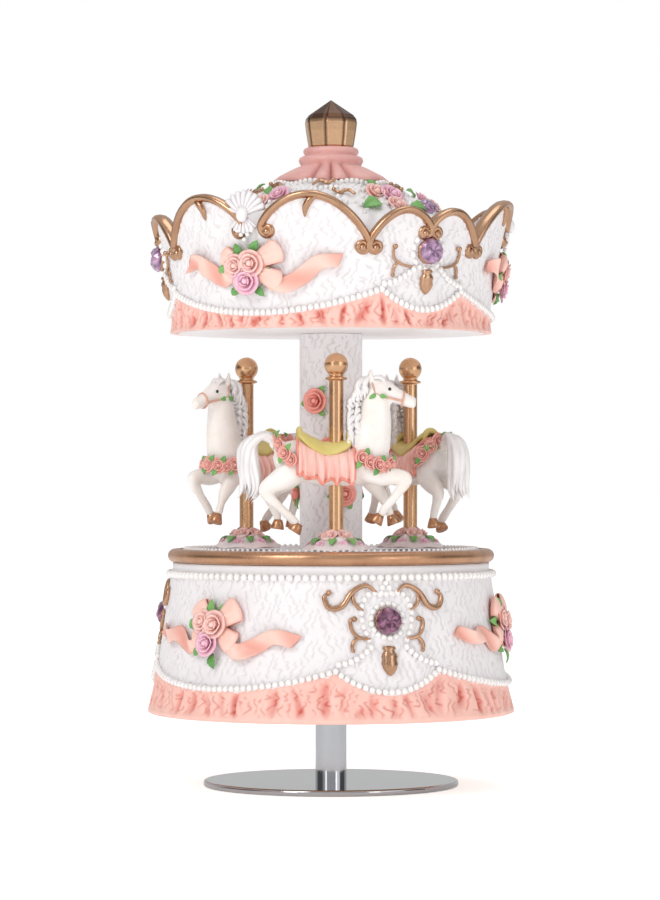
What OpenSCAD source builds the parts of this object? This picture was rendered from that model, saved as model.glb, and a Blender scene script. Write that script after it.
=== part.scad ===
// Carousel music box: a wind-up movement in a resin drum, which turns with its
// deck, three horses and canopy on a chromed pillar and plate.
// +Z is up, the front faces -Y and the origin is the centre of the rest face.

/* [Stand] */
// Diameter of the round plate that it stands on
plate_d = 65; // [50:1:84]
// Thickness of the plate
plate_t = 1.6; // [1.4:0.1:4]
// Diameter of the pillar
pillar_d = 8; // [7:0.5:16]
// Height of the pillar that shows between plate and drum
pillar_h = 16.9; // [10:0.1:40]
// Diameter of the winding arbor inside the pillar and the movement
arbor_d = 4; // [3:0.1:5]

/* [Drum] */
// Diameter of the drum's wall just above its ruffle
drum_d = 88.2; // [85:0.5:120]
// Diameter of the drum's wall under its bead ring
drum_top_d = 82.2; // [80:0.5:120]
// Thickness of the drum's wall
drum_wall = 3; // [2:0.1:5]
// Height of the drum from its lower edge to its top lip
drum_h = 38.5; // [36:0.5:60]
// Width that the ruffle stands out from the drum's wall
ruffle_out = 3.1; // [1.5:0.1:6]
// Height of the ruffle
ruffle_h = 12.5; // [6:0.5:16]
// Diameter of one pearl of the bead ring
pearl_d = 2; // [1:0.1:3]
// Thickness of the bottom cover
cover_t = 2.5; // [2.5:0.1:4]
// Diameter of the screws in the cover
cover_screw_d = 2.6; // [2:0.1:3]
// Turn of the first gem ornament, to the right of the front
drum_gem_at = 19; // [-60:1:60]

/* [Deck] */
// Thickness of the deck
deck_t = 2.8; // [2:0.1:6]
// Diameter of the metallic rim
rim_d = 83.2; // [82:0.1:125]
// Height of the metallic rim
rim_h = 3.4; // [3:0.1:6]

/* [Horses] */
// Distance of the poles from the middle
pole_circle_r = 24.5; // [23:0.5:30]
// Diameter of a pole
pole_d = 3.6; // [2.5:0.1:4.5]
// Turn of the first pole, to the right of the front
pole_at = 3; // [-60:1:60]
// Height of a horse's body above the deck
horse_lift = 21.2; // [20:0.1:26]
// Diameter of the mound at a pole's foot
mound_d = 17; // [12:0.5:18]
// Height of the mound
mound_h = 3.4; // [2:0.1:3.6]

/* [Column] */
// Diameter of the column
column_d = 18.6; // [14:0.2:20]
// Height of the column between deck and canopy
column_h = 55.4; // [54:0.2:75]

/* [Canopy] */
// Diameter of the canopy's ruffle at its lower edge
canopy_d = 82.4; // [80:0.2:110]
// Thickness of the canopy's floor
floor_t = 2.5; // [2:0.1:5]
// Thickness of the crown's wall
crown_wall = 2.2; // [1.6:0.1:4]
// Height of the crown's tall arches above the canopy's underside
big_arch_h = 33.1; // [30:0.1:40]
// Height of the crown's low arches above the canopy's underside
small_arch_h = 29.2; // [26:0.1:36]
// Height of the crown's dips above the canopy's underside
dip_h = 20.4; // [18:0.1:26]
// Slope of the crown's wall, which leans out
crown_slope = 0.17; // [0:0.01:0.2]
// Turn of the first gem of the crown, to the right of the front
canopy_gem_at = 34; // [-60:1:60]
// Diameter of the trim along the crown's edge
trim_d = 2; // [1.2:0.1:2.4]

/* [Roof] */
// Height of the dome above the canopy's underside
dome_h = 38.2; // [36:0.1:45]
// Radius of the dome's shoulder
dome_r = 18; // [16:0.5:22]
// Diameter of the pleated cap
cap_d = 30; // [26:0.5:32]
// Height of the pleated cap
cap_h = 4.6; // [4.4:0.1:8]
// Diameter of the finial
finial_d = 14; // [10:0.2:15]
// Height of the finial
finial_h = 12.3; // [8:0.1:20]

/* [Movement] */
// Thickness of the movement's bedplate
bed_t = 2; // [1.6:0.1:3]
// Outer diameter of the spring housing
spring_d = 20; // [18:0.1:20]
// Height of the spring housing
spring_h = 9; // [8:0.1:10]
// Thickness of the mainspring's strip
strip_t = 0.4; // [0.3:0.05:0.5]
// Diameter of the music cylinder
cylinder_d = 13; // [11:0.1:13]
// Length of the music cylinder
cylinder_l = 16; // [14:0.5:16]
// Diameter of the cylinder's shaft
shaft_d = 1.6; // [1.2:0.1:2]
// Number of notes on the comb
notes = 18; // [12:1:22]

/* [Hidden] */
$fn = 96;

// Gaps: pieces glued or seated, pieces that run in each other, and clear air
seat = 0.05;
run = 0.05;
air = 0.3;

// Heights of the stack above the rest face
drum_z = plate_t + pillar_h;
ruffle_top = drum_z + ruffle_h;
drum_top = drum_z + drum_h;
bead_z = drum_top - 2.8;
neck_z = drum_top - 1.3;
deck_top = drum_top + deck_t;
floor_z = deck_top + column_h;
crown_z = floor_z + floor_t;
cap_z = floor_z + dome_h;
neck_ring_h = [2.6, 2.1];
finial_z = cap_z + cap_h + neck_ring_h[0] + neck_ring_h[1];

// Radii that several pieces share
drum_r = drum_d / 2;
drum_top_r = drum_top_d / 2;
lip_r = drum_top_r - 0.8;
deck_r = rim_d / 2 - 3.15;
floor_r = canopy_d / 2 - 2.2;
canopy_ruffle_h = 5.6;

// Radius of the drum's outer wall at height z, and of the crown's outer wall
function drum_at(z) = drum_r + (drum_top_r - drum_r) * (z - ruffle_top) / (bead_z - 2.6 - ruffle_top);
function crown_at(z) = canopy_d / 2 - 0.9 + crown_slope * (z - crown_z);

// A direction in the plan, for a turn to the right of the front
function around(turn) = [sin(turn), -cos(turn), 0];
function unit(v) = v / norm(v);

// Solid of a list of rings that all have the same number of points
module loft(rings, closed = false) {
    n = len(rings);
    m = len(rings[0]);
    spans = closed ? n : n - 1;
    sides = [for (i = [0:spans - 1], j = [0:m - 1])
        let (a = i * m + j, b = i * m + (j + 1) % m, k = ((i + 1) % n) * m)
        each [[a, b, k + (j + 1) % m], [a, k + (j + 1) % m, k + j]]];
    caps = closed ? [] : [[for (j = [m - 1:-1:0]) j], [for (j = [0:m - 1]) (n - 1) * m + j]];
    polyhedron(points = [for (ring = rings) each ring], faces = concat(sides, caps));
}

// Ring of a tube of radius r at point p, where the path runs along t
function tube_ring(p, t, r, sides) =
    let (out = unit([p.x, p.y, 0]), side = unit(cross(t, out)), lift = cross(side, t))
    [for (k = [0:sides - 1]) let (a = 360 * k / sides) p + r * (cos(a) * side + sin(a) * lift)];

// Round tube of radius r along points that run around the object
module tube(path, r, sides = 6, closed = false) {
    n = len(path);
    loft([for (i = [0:n - 1])
        let (before = closed ? path[(i + n - 1) % n] : path[max(i - 1, 0)],
             after = closed ? path[(i + 1) % n] : path[min(i + 1, n - 1)])
        tube_ring(path[i], unit(after - before), r, sides)], closed);
}

// Puts its children at radius r and height z, facing outwards, at a turn from the front
module place(turn, r, z) {
    rotate([0, 0, turn]) translate([0, -r, z]) children();
}

// Stands a flat outline up so that it faces outwards
module upright(depth) {
    rotate([90, 0, 0]) linear_extrude(depth) children();
}

// Screw with a countersunk head whose face is at z = 0 and whose shank goes up
module screw_up(d, head_d, length) {
    head_h = (head_d - d) / 2;
    union() {
        cylinder(h = head_h, d1 = head_d, d2 = d, $fn = 48);
        cylinder(h = length, d = d, $fn = 48);
    }
}

// Leaf outline: the overlap of two circles
module leaf_outline(length, width) {
    r = (length * length + width * width) / (4 * width);
    intersection() {
        translate([0, r - width / 2]) circle(r, $fn = 48);
        translate([0, width / 2 - r]) circle(r, $fn = 48);
    }
}

// Rose bud that opens outwards, with two turned-back rows of petals
module rose(d) {
    rotate([90, 0, 0]) rotate_extrude($fn = 32) polygon([
        [0, -d * 0.2], [d * 0.34, -d * 0.2], [d * 0.5, d * 0.02], [d * 0.46, d * 0.14],
        [d * 0.34, d * 0.1], [d * 0.3, d * 0.24], [d * 0.2, d * 0.22], [d * 0.12, d * 0.34], [0, d * 0.34]
    ]);
}

// ---------------------------------------------------------------- stand

edge_round = 0.6;
plate_head_d = 7.6;
plate_screw_l = 9;

module base_plate() {
    color("silver") difference() {
        rotate_extrude() {
            square([plate_d / 2 - edge_round, plate_t]);
            translate([0, edge_round]) square([plate_d / 2, plate_t - 2 * edge_round]);
            translate([plate_d / 2 - edge_round, edge_round]) circle(edge_round, $fn = 32);
            translate([plate_d / 2 - edge_round, plate_t - edge_round]) circle(edge_round, $fn = 32);
        }
        translate([0, 0, -1]) cylinder(h = plate_t + 2, d = arbor_d + 2 * seat, $fn = 48);
        screw_recess(plate_head_d, arbor_d);
    }
}

// Countersink that a screw head sits in, flush with z = 0
module screw_recess(head_d, d) {
    depth = (head_d - d) / 2;
    translate([0, 0, -seat]) cylinder(h = depth, d1 = head_d + 4 * seat, d2 = d + 4 * seat, $fn = 48);
}

module plate_screw() {
    color("gray") screw_up(arbor_d, plate_head_d - 2 * seat, plate_screw_l);
}

module pillar() {
    color("gainsboro") difference() {
        translate([0, 0, plate_t]) cylinder(h = pillar_h + cover_z - air, d = pillar_d);
        translate([0, 0, -1]) cylinder(h = drum_z + cover_z + 2, d = arbor_d + 2 * seat, $fn = 48);
    }
}

// ---------------------------------------------------------------- drum

// Height of the cover's lower face above the drum's lower edge
cover_z = 1;
cover_r = drum_r - drum_wall - 1.2;
cover_top = drum_z + cover_z + cover_t;
boss_d = 7.6;
boss_r = drum_r - drum_wall - 4;
boss_turns = [165, 270, 15];
cover_head_d = 5.2;
cover_screw_l = 9;

// Outline of the drum's outer face, grown outwards by out
function drum_outline(out) = [
    [0, drum_z], [drum_r + out, drum_z], [drum_r + out, ruffle_top],
    [drum_top_r + out, bead_z - 2.6], [drum_top_r + 0.2 + out, bead_z - 1.6],
    [lip_r + out, neck_z], [lip_r + out, drum_top], [0, drum_top]
];

module drum_solid(out) {
    rotate_extrude() polygon(drum_outline(out));
}

module drum_shell() {
    color("ghostwhite") difference() {
        union() {
            difference() {
                drum_solid(0);
                rotate_extrude() polygon([
                    [0, drum_z - 1], [cover_r + seat, drum_z - 1], [cover_r + seat, cover_top],
                    [drum_r - drum_wall - 0.6, cover_top], [drum_r - drum_wall - 0.6, ruffle_top],
                    [drum_top_r - drum_wall, bead_z - 2.6], [drum_top_r - drum_wall - 1, drum_top + 1],
                    [0, drum_top + 1]
                ]);
            }
            for (turn = boss_turns)
                place(turn, boss_r, cover_top) cylinder(h = 12, d = boss_d, $fn = 48);
        }
        for (turn = boss_turns)
            place(turn, boss_r, cover_top - 1) cylinder(h = 12, d = cover_screw_d + 2 * seat, $fn = 32);
    }
}

// Solid inside the ruffle's outer face, grown by out
module ruffle_solid(out) {
    foot_r = drum_r + ruffle_out + out;
    rotate_extrude() polygon([
        [0, drum_z + 0.3 - out], [foot_r - 1.2, drum_z + 0.3 - out], [foot_r, drum_z + 1.5], [foot_r, drum_z + 3.6],
        [drum_r + 0.9 + out, ruffle_top - 1.6], [drum_r + 0.6 + out, ruffle_top + out], [0, ruffle_top + out]
    ]);
}

module drum_ruffle() {
    color("lightsalmon") difference() {
        ruffle_solid(0);
        translate([0, 0, drum_z]) cylinder(h = ruffle_h + 1, r = drum_r + seat);
    }
}

module drum_bead_ring() {
    color("white") rotate_extrude()
        difference() {
            translate([drum_top_r + 0.2, bead_z]) circle(pearl_d / 2, $fn = 24);
            polygon(drum_outline(seat));
        }
}

// Height of a hanging string between two ends, as a share of its sag
function hang(u) = 4 * u * (1 - u);

// Radius of the drum's outer face at height z, ruffle included
function drum_skin(z) = z >= ruffle_top ? drum_at(z)
    : drum_r + 0.9 + (ruffle_out - 0.9) * min(1, max(0, (ruffle_top - 1.6 - z) / (ruffle_h - 5.2)));

// One pearl string on the drum, from turn a to turn b, whose ends are at height z
function drum_string(a, b, z, sag, steps) = [for (i = [0:steps])
    let (u = i / steps, h = z - sag * hang(u)) (drum_skin(h) + 0.7) * around(a + (b - a) * u) + [0, 0, h]];

// The strings hang between peaks on either side of a gem
peak_turn = 17.5;
drum_bow_at = drum_gem_at - 60;
drum_bow_z = bead_z - 11.2;
drum_gem_z = drum_z + 25.2;

module drum_pearl_swags() {
    z = ruffle_top + 0.9;
    color("white") difference() {
        union() for (k = [0:2]) {
            gem = drum_gem_at + 120 * k;
            tube(drum_string(gem - peak_turn + 1.2, gem + peak_turn - 1.2, z, 5.6, 12), 0.75);
            tube(drum_string(gem + peak_turn + 1.2, gem + 120 - peak_turn - 1.2, z, 5, 20), 0.75);
        }
        drum_solid(seat);
        ruffle_solid(seat);
    }
}

// Flat outline of a bow: two loops, a knot and two wavy tails
module bow_outline(w) {
    for (s = [-1, 1]) {
        difference() {
            translate([s * w * 0.29, w * 0.04]) circle(w * 0.21, $fn = 48);
            translate([s * w * 0.31, w * 0.06]) circle(w * 0.1, $fn = 32);
        }
        polygon([for (side = [-1, 1], i = [0:12])
            let (u = side < 0 ? i / 12 : 1 - i / 12, wave = 0.04 * w * sin(u * 400))
            [s * (0.04 + 0.58 * u) * w, -0.34 * w * u + wave + side * 0.06 * w]]);
    }
    circle(w * 0.1, $fn = 32);
}

module drum_bows() {
    w = 20;
    for (k = [0:2])
        color("lightpink") intersection() {
            difference() {
                drum_solid(1.4);
                drum_solid(seat);
            }
            place(drum_bow_at + 120 * k, drum_r - 8, drum_bow_z) upright(16) bow_outline(w);
        }
}

// Places of the roses on a bow: across, up and size
bow_roses = [[-2.6, 1.2, 5.2], [2.4, 2, 4.8], [0.4, -2.6, 4.6]];

module drum_roses() {
    color("palevioletred") difference() {
        union() for (k = [0:2], spot = bow_roses)
            let (z = drum_bow_z + spot[1], r = drum_at(z) + 2.4)
            place(drum_bow_at + 120 * k + spot[0] * 180 / (PI * r), r, z) rose(spot[2]);
        drum_solid(1.4 + seat);
    }
}

gem_d = 6.9;
gem_out = 1.5;

// Round faceted stone that faces outwards, from its girdle at y = 0
module gem(d, thick) {
    rotate([90, 0, 0]) {
        cylinder(h = thick * 0.35, d = d, $fn = 12);
        translate([0, 0, thick * 0.35]) cylinder(h = thick * 0.65, d1 = d, d2 = d * 0.55, $fn = 12);
    }
}

module drum_gems() {
    color("rosybrown") for (k = [0:2])
        place(drum_gem_at + 120 * k, drum_at(drum_gem_z - gem_d / 2) + gem_out + seat, drum_gem_z)
            gem(gem_d, 2.2);
}

module drum_gem_bezels() {
    color("goldenrod") difference() {
        union() for (k = [0:2])
            place(drum_gem_at + 120 * k, drum_at(drum_gem_z + gem_d / 2) - 1, drum_gem_z)
                rotate([90, 0, 0]) cylinder(h = drum_at(drum_gem_z - gem_d / 2) + gem_out
                    - drum_at(drum_gem_z + gem_d / 2) + 1, d = gem_d + 2.4, $fn = 48);
        drum_solid(seat);
    }
}

// Flat outline of an open S-shaped scroll, high h, with bar t wide
module scroll_outline(h, t) {
    for (s = [-1, 1]) rotate(s < 0 ? 180 : 0) translate([h * 0.15, h * 0.25]) difference() {
        circle(h * 0.25, $fn = 32);
        circle(h * 0.25 - t, $fn = 32);
        translate([-h / 2, -h * 0.25]) square([h / 2 - h * 0.1, h * 0.35]);
    }
    rotate(-30) square([t, h * 0.5], center = true);
}

module drum_scrolls() {
    color("goldenrod") intersection() {
        difference() {
            drum_solid(1.3);
            drum_solid(seat);
            for (k = [0:2]) place(drum_gem_at + 120 * k, drum_r - 8, drum_gem_z)
                rotate([90, 0, 0]) cylinder(h = 16, d = gem_d + 2.4 + 4 * seat, $fn = 48);
        }
        union() for (k = [0:2])
            place(drum_gem_at + 120 * k, drum_r - 8, drum_gem_z) upright(16) {
                for (s = [-1, 1]) mirror([s < 0 ? 1 : 0, 0, 0]) {
                    translate([5.4, 4.2]) rotate(-35) scroll_outline(8, 1.1);
                    translate([4.4, -6]) rotate(30) scroll_outline(6.4, 1);
                }
                translate([0, -9.6]) rotate(90) leaf_outline(6, 3);
            }
    }
}

module bottom_cover() {
    color("tan") difference() {
        translate([0, 0, drum_z + cover_z]) cylinder(h = cover_t, r = cover_r);
        translate([0, 0, drum_z]) cylinder(h = cover_z + cover_t + 1, d = arbor_d + 2);
        for (turn = boss_turns)
            place(turn, boss_r, drum_z + cover_z) {
                cylinder(h = cover_t + 1, d = cover_screw_d + 4 * seat, $fn = 32);
                screw_recess(cover_head_d, cover_screw_d);
            }
        for (spot = bed_screws) translate([spot.x, spot.y, drum_z + cover_z]) {
            cylinder(h = cover_t + 1, d = bed_screw_d + 4 * seat, $fn = 32);
            screw_recess(cover_head_d, bed_screw_d);
        }
    }
}

module cover_screws() {
    color("gray") for (turn = boss_turns)
        place(turn, boss_r, drum_z + cover_z)
            screw_up(cover_screw_d, cover_head_d - 2 * seat, cover_screw_l);
}

// ---------------------------------------------------------------- deck

module deck() {
    bead_r = 0.65;
    color("ghostwhite") difference() {
        union() {
            translate([0, 0, drum_top + seat]) cylinder(h = deck_t - seat, r = deck_r);
            rotate_extrude() translate([deck_r - 1, deck_top]) circle(bead_r, $fn = 16);
        }
        translate([0, 0, drum_top - 1]) cylinder(h = seat + 1, r = deck_r + 2);
    }
}

module deck_rim() {
    r = rim_d / 2;
    round_r = rim_h / 2;
    color("peru") rotate_extrude() intersection() {
        union() {
            translate([r - round_r, drum_top + round_r + seat]) circle(round_r, $fn = 48);
            translate([deck_r, drum_top + seat]) square([r - round_r - deck_r, rim_h]);
        }
        translate([deck_r + seat, drum_top + seat]) square([r, rim_h]);
    }
}

// ---------------------------------------------------------------- horses

// Chain of rounded limbs through points given as x, y, z and radius
module limb(points) {
    for (i = [0:len(points) - 2]) hull() {
        translate([points[i][0], points[i][1], points[i][2]]) sphere(points[i][3]);
        translate([points[i + 1][0], points[i + 1][1], points[i + 1][2]]) sphere(points[i + 1][3]);
    }
}

// A horse's barrel, grown by out: rump, waist and chest, about the pole's axis
module barrel(out) {
    limb([[-10.6, 0, 0.9, 5.2 + out], [-2, 0, -0.5, 4.4 + out], [8, 0, 0.3, 5 + out]]);
}

module horse_shape() {
    side = 2.7;
    union() {
        barrel(0, $fn = 20);
        limb([[8, 0, 3.2, 4.6], [8.7, 0, 11.5, 3.5], [10, 0, 18.6, 2.9]], $fn = 14);
        limb([[10.6, 0, 19, 2.9], [18.2, 0, 16.1, 1.9]], $fn = 12);
        limb([[5.4, 0, 8, 2.2], [4, 0, 14, 2.3], [6.4, 0, 20, 2]], $fn = 10);
        for (s = [-1, 1]) limb([[8.6, s * 1.3, 20.6, 1], [8.2, s * 1.5, 23, 0.4]], $fn = 8);
        limb([[-14, 0, 5.2, 2], [-19.4, 0, 6.6, 1.9], [-21.7, 0, 1, 1.9], [-21.2, 0, -8, 1.5]], $fn = 10);
        limb([[9, -side, -2.4, 3.2], [17, -side, -2.6, 1.9], [11, -side, -11.2, 1.3],
            [10, -side, -13, 1.6]], $fn = 10);
        limb([[8.4, side, -2.6, 3], [10.8, side, -7, 1.7], [13.4, side, -12.6, 1.4]], $fn = 10);
        limb([[-11, -side, -1.6, 3.8], [-18.4, -side, -6, 2], [-11.2, -side, -12.8, 1.4],
            [-9.3, -side, -15.2, 1.8]], $fn = 10);
        limb([[-10.6, side, -1.6, 3.6], [-16.8, side, -7, 1.9], [-14.3, side, -14.2, 1.6]], $fn = 10);
    }
}

// How far each horse is turned from the way round, on its own pole
horse_yaw = [0, 0, -14];

// Puts a horse's pieces at pole k, at the height of its body
module at_pole(k) {
    place(pole_at + 120 * k, pole_circle_r, deck_top + horse_lift) rotate(horse_yaw[k]) children();
}

module pole_hole() {
    translate([0, 0, -40]) cylinder(h = 80, d = pole_d + 4 * seat, $fn = 24);
}

module horse(k) {
    color("ivory") at_pole(k) difference() {
        horse_shape();
        pole_hole();
    }
}

module saddle(k) {
    cloth = 0.9;
    color("khaki") at_pole(k) difference() {
        union() {
            intersection() {
                barrel(cloth, $fn = 20);
                translate([-12, -10, -2.6]) cube([17.6, 20, 14]);
            }
            limb([[-8, 0, 6.4, 1.8], [-3, 0, 3.6, 2.8], [2.4, 0, 6.6, 1.5]], $fn = 14);
        }
        barrel(seat, $fn = 20);
        translate([3.2, -10, 3.6]) cube([6, 20, 10]);
        translate([-17, -10, -7.6]) cube([10, 20, 10]);
        pole_hole();
    }
}

module pole(k) {
    collar_z = 42.8;
    ball_z = 46.2;
    color("darkgoldenrod") place(pole_at + 120 * k, pole_circle_r, deck_top) {
        cylinder(h = ball_z, d = pole_d, $fn = 32);
        translate([0, 0, collar_z - 0.8]) cylinder(h = 1.6, d = pole_d + 1.7, $fn = 32);
        translate([0, 0, ball_z]) sphere(pole_d / 2 + 1.15, $fn = 32);
    }
}

module mound(k) {
    color("mistyrose") place(pole_at + 120 * k, pole_circle_r, deck_top + seat) difference() {
        union() {
            intersection() {
                translate([0, 0, mound_h - mound_d * 0.75]) sphere(mound_d * 0.75, $fn = 48);
                cylinder(h = mound_h + 1, d = mound_d, $fn = 48);
            }
            for (i = [0:3]) rotate([0, 0, 90 * i + 30]) translate([3.2, 0, mound_h - 0.2]) sphere(1.5, $fn = 24);
        }
        translate([0, 0, -1]) cylinder(h = mound_h + 4, d = pole_d + 2 * seat, $fn = 32);
    }
}

// ---------------------------------------------------------------- column

module column() {
    r = column_d / 2;
    flare = 0.3;
    color("whitesmoke") rotate_extrude() polygon([
        [0, deck_top + seat], [r + flare, deck_top + seat], [r + flare * 0.4, deck_top + 2], [r, deck_top + 5],
        [r, floor_z - 5], [r + flare * 0.4, floor_z - 2], [r + flare, floor_z - seat], [0, floor_z - seat]
    ]);
}

// Places of the roses on a third of the column: turn from the first pole, and height above the deck
vine = [[19, 14], [-6, 25.5], [-30, 37.5]];

module column_roses() {
    color("salmon") difference() {
        union() for (k = [0:2], spot = vine)
            place(pole_at + 120 * k + spot[0], column_d / 2 + 0.7, deck_top + spot[1]) rose(4.6);
        translate([0, 0, deck_top]) cylinder(h = column_h, d = column_d + 2 * seat);
    }
}

// ---------------------------------------------------------------- canopy

module canopy_floor() {
    color("whitesmoke") translate([0, 0, floor_z]) cylinder(h = floor_t - seat, r = floor_r);
}

module canopy_ruffle() {
    r = canopy_d / 2;
    color("lightsalmon") rotate_extrude() polygon([
        [floor_r + seat, floor_z], [r - 0.5, floor_z], [r, floor_z + 0.5], [r - 0.4, floor_z + canopy_ruffle_h],
        [crown_at(crown_z + 3.1) + seat, floor_z + canopy_ruffle_h],
        [crown_at(crown_z) + seat, crown_z - seat], [floor_r + seat, crown_z - seat]
    ]);
}

// Half angles of the low arches and of the tall arches, from the gem
small_end = 21.5;
big_end = 57;
gem_dip_h = dip_h + 3.8;

// Height of the crown's edge above the canopy's underside, t degrees from the nearest gem
function edge_h(t) = t < small_end
    ? (let (u = t / small_end) gem_dip_h + (dip_h - gem_dip_h) * u
        + (small_arch_h - (gem_dip_h + dip_h) / 2) * pow(sin(180 * u), 0.7))
    : (let (u = min(1, (t - small_end) / (big_end - small_end)), foot = dip_h + 4 * u)
        foot + (big_arch_h - dip_h - 2) * pow(sin(180 * u), 0.7));

// Degrees from the nearest gem, for a turn from the front
function from_gem(turn) = let (t = ((turn - canopy_gem_at) % 120 + 120) % 120) min(t, 120 - t);

// Places around the crown's edge, and how steep the edge is at one of them
edge_steps = 156;
function steepness(turn) = let (step = 360 / edge_steps, h = edge_h(from_gem(turn)), run = crown_at(crown_z) * PI * step / 180)
    max(abs(edge_h(from_gem(turn + step)) - h), abs(edge_h(from_gem(turn - step)) - h)) / run;

module canopy_crown() {
    color("ghostwhite") loft([for (i = [0:edge_steps - 1])
        let (turn = 360 * i / edge_steps, top = floor_z + edge_h(from_gem(turn)), d = around(turn)) [
            crown_at(crown_z) * d + [0, 0, crown_z], crown_at(top) * d + [0, 0, top],
            (crown_at(top) - crown_wall) * d + [0, 0, top], (crown_at(crown_z) - crown_wall) * d + [0, 0, crown_z]
        ]], true);
}

module crown_trim() {
    r = trim_d / 2;
    color("goldenrod") tube([for (i = [0:edge_steps - 1])
        let (turn = 360 * i / edge_steps, lift = (r + seat) * norm([1, steepness(turn)]),
            z = floor_z + edge_h(from_gem(turn)) + lift)
        (crown_at(z) - crown_wall / 2) * around(turn) + [0, 0, z]], r, 5, true);
}

// Solid inside the crown's outer face, grown by out
module crown_solid(out) {
    rows = 8;
    top = big_arch_h + 8;
    rotate_extrude() polygon(concat([[0, floor_z], [crown_at(crown_z) + out, floor_z]],
        [for (i = [0:rows]) let (z = crown_z + (top - floor_t) * i / rows) [crown_at(z) + out, z]],
        [[0, crown_z + top - floor_t]]));
}

// Radius of the canopy's outer face at height z, ruffle included
function canopy_skin(z) = z > floor_z + canopy_ruffle_h ? crown_at(z) : canopy_d / 2;

// One pearl string on the canopy, from turn a to turn b, whose ends are at height z
function crown_string(a, b, z, sag, steps) = [for (i = [0:steps])
    let (u = i / steps, h = z - sag * hang(u)) (canopy_skin(h) + 0.7) * around(a + (b - a) * u) + [0, 0, h]];

canopy_bow_at = canopy_gem_at - 60;
canopy_bow_z = floor_z + 15.2;
canopy_gem_z = floor_z + 18.9;

module canopy_pearls() {
    z = floor_z + 9.8;
    color("white") difference() {
        union() for (k = [0:2]) {
            gem = canopy_gem_at + 120 * k;
            tube(crown_string(gem - peak_turn + 2.4, gem + peak_turn - 2.4, z, 5.2, 12), 0.75);
            tube(crown_string(gem + peak_turn, gem + 120 - peak_turn, z, 6, 24), 0.75);
        }
        crown_solid(seat);
        translate([0, 0, floor_z]) cylinder(h = canopy_ruffle_h + seat, d = canopy_d + 2 * seat);
    }
}

module crown_shells() {
    w = 10.5;
    lobes = 5;
    foot = 21.5;
    color("white") for (k = [0:2])
        place(canopy_bow_at + 120 * k, crown_at(floor_z + foot) + 0.5, floor_z + foot) rotate([11, 0, 0])
            upright(1.3) {
                circle(w * 0.28, $fn = 32);
                for (i = [0:lobes - 1]) rotate((i - (lobes - 1) / 2) * 26) translate([0, w * 0.62])
                    circle(w * 0.26, $fn = 32);
                translate([-w * 0.3, 0]) square([w * 0.6, w * 0.6]);
            }
}

module canopy_bows() {
    w = 18;
    color("lightpink") intersection() {
        difference() {
            crown_solid(1.3);
            crown_solid(seat);
        }
        union() for (k = [0:2])
            place(canopy_bow_at + 120 * k, canopy_d / 2 - 8, canopy_bow_z - 1.5) upright(16) bow_outline(w);
    }
}

module canopy_roses() {
    color("palevioletred") difference() {
        union() for (k = [0:2], spot = bow_roses)
            let (z = canopy_bow_z + spot[1] - 1.5, r = crown_at(z) + 2.4)
            place(canopy_bow_at + 120 * k + spot[0] * 180 / (PI * r), r, z) rose(spot[2]);
        crown_solid(1.3 + seat);
    }
}

canopy_gem_d = 6.8;

module canopy_gems() {
    color("thistle") for (k = [0:2])
        place(canopy_gem_at + 120 * k, crown_at(canopy_gem_z + canopy_gem_d / 2) + 0.6, canopy_gem_z)
            gem(canopy_gem_d, 2.4);
}

module canopy_scrolls() {
    color("goldenrod") intersection() {
        difference() {
            crown_solid(1.3);
            crown_solid(seat);
        }
        union() for (k = [0:2])
            place(canopy_gem_at + 120 * k, canopy_d / 2 - 8, canopy_gem_z) upright(16) {
                for (s = [-1, 1]) mirror([s < 0 ? 1 : 0, 0, 0]) {
                    translate([4.9, 3.4]) rotate(-60) scroll_outline(5.4, 0.9);
                    translate([4.4, -3.6]) rotate(40) scroll_outline(4.8, 0.9);
                }
                translate([0, -6.2]) rotate(90) leaf_outline(4.6, 2.2);
            }
    }
}

// ---------------------------------------------------------------- roof

dome_foot_h = 17;
dome_t = 2;

// Outline of the dome's outer face from its foot up, grown by out
function dome_outline(out) = [
    [crown_at(floor_z + dome_foot_h) - crown_wall - air + out, floor_z + dome_foot_h],
    [dome_r + 15 + out, floor_z + dome_h - 14.2 + out], [dome_r + 7 + out, floor_z + dome_h - 7.4 + out],
    [dome_r + out, floor_z + dome_h - 2.6 + out], [dome_r - 4.5 + out, floor_z + dome_h + out]
];

module dome_solid(out) {
    rotate_extrude() polygon(concat([[0, floor_z + dome_foot_h]], dome_outline(out),
        [[0, floor_z + dome_h + out]]));
}

module roof_dome() {
    color("ghostwhite") difference() {
        dome_solid(0);
        translate([0, 0, -dome_t]) dome_solid(-0.6);
    }
}

// Rings of pearls, roses and stones around the dome: radius, height below the top, count, size
garland = [[dome_r - 0.6, 2.2, 18, 3.4], [dome_r + 6.6, 7, 21, 3.6], [dome_r + 14.6, 13.6, 24, 3.2]];

module roof_garland() {
    color("pink") difference() {
        union() for (ring = garland, i = [0:ring[2] - 1])
            place(360 * i / ring[2] + ring[1], ring[0], floor_z + dome_h - ring[1])
                sphere(d = ring[3], $fn = 16);
        dome_solid(seat);
    }
}

module roof_cap() {
    r = cap_d / 2;
    neck = 8.4;
    color("lightpink") rotate_extrude() polygon(concat([
        [0, cap_z + seat], [r - 2.5, cap_z + seat], [r, cap_z + 0.5], [r - 0.6, cap_z + 1.4],
        [r - 2.6, cap_z + 2.6], [neck + 1.2, cap_z + 4], [neck, cap_z + cap_h], [neck, cap_z + cap_h + 0.4]],
        [for (i = [0:6]) let (a = -60 + 20 * i) [neck - 0.6 + 0.9 * cos(a), cap_z + cap_h + 1.5 + 1.1 * sin(a)]],
        [[7.1, cap_z + cap_h + neck_ring_h[0]]],
        [for (i = [0:6]) let (a = -60 + 20 * i)
            [6.5 + 0.8 * cos(a), cap_z + cap_h + neck_ring_h[0] + 1.1 + 0.9 * sin(a)]],
        [[5.6, finial_z], [0, finial_z]]
    ));
}

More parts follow.
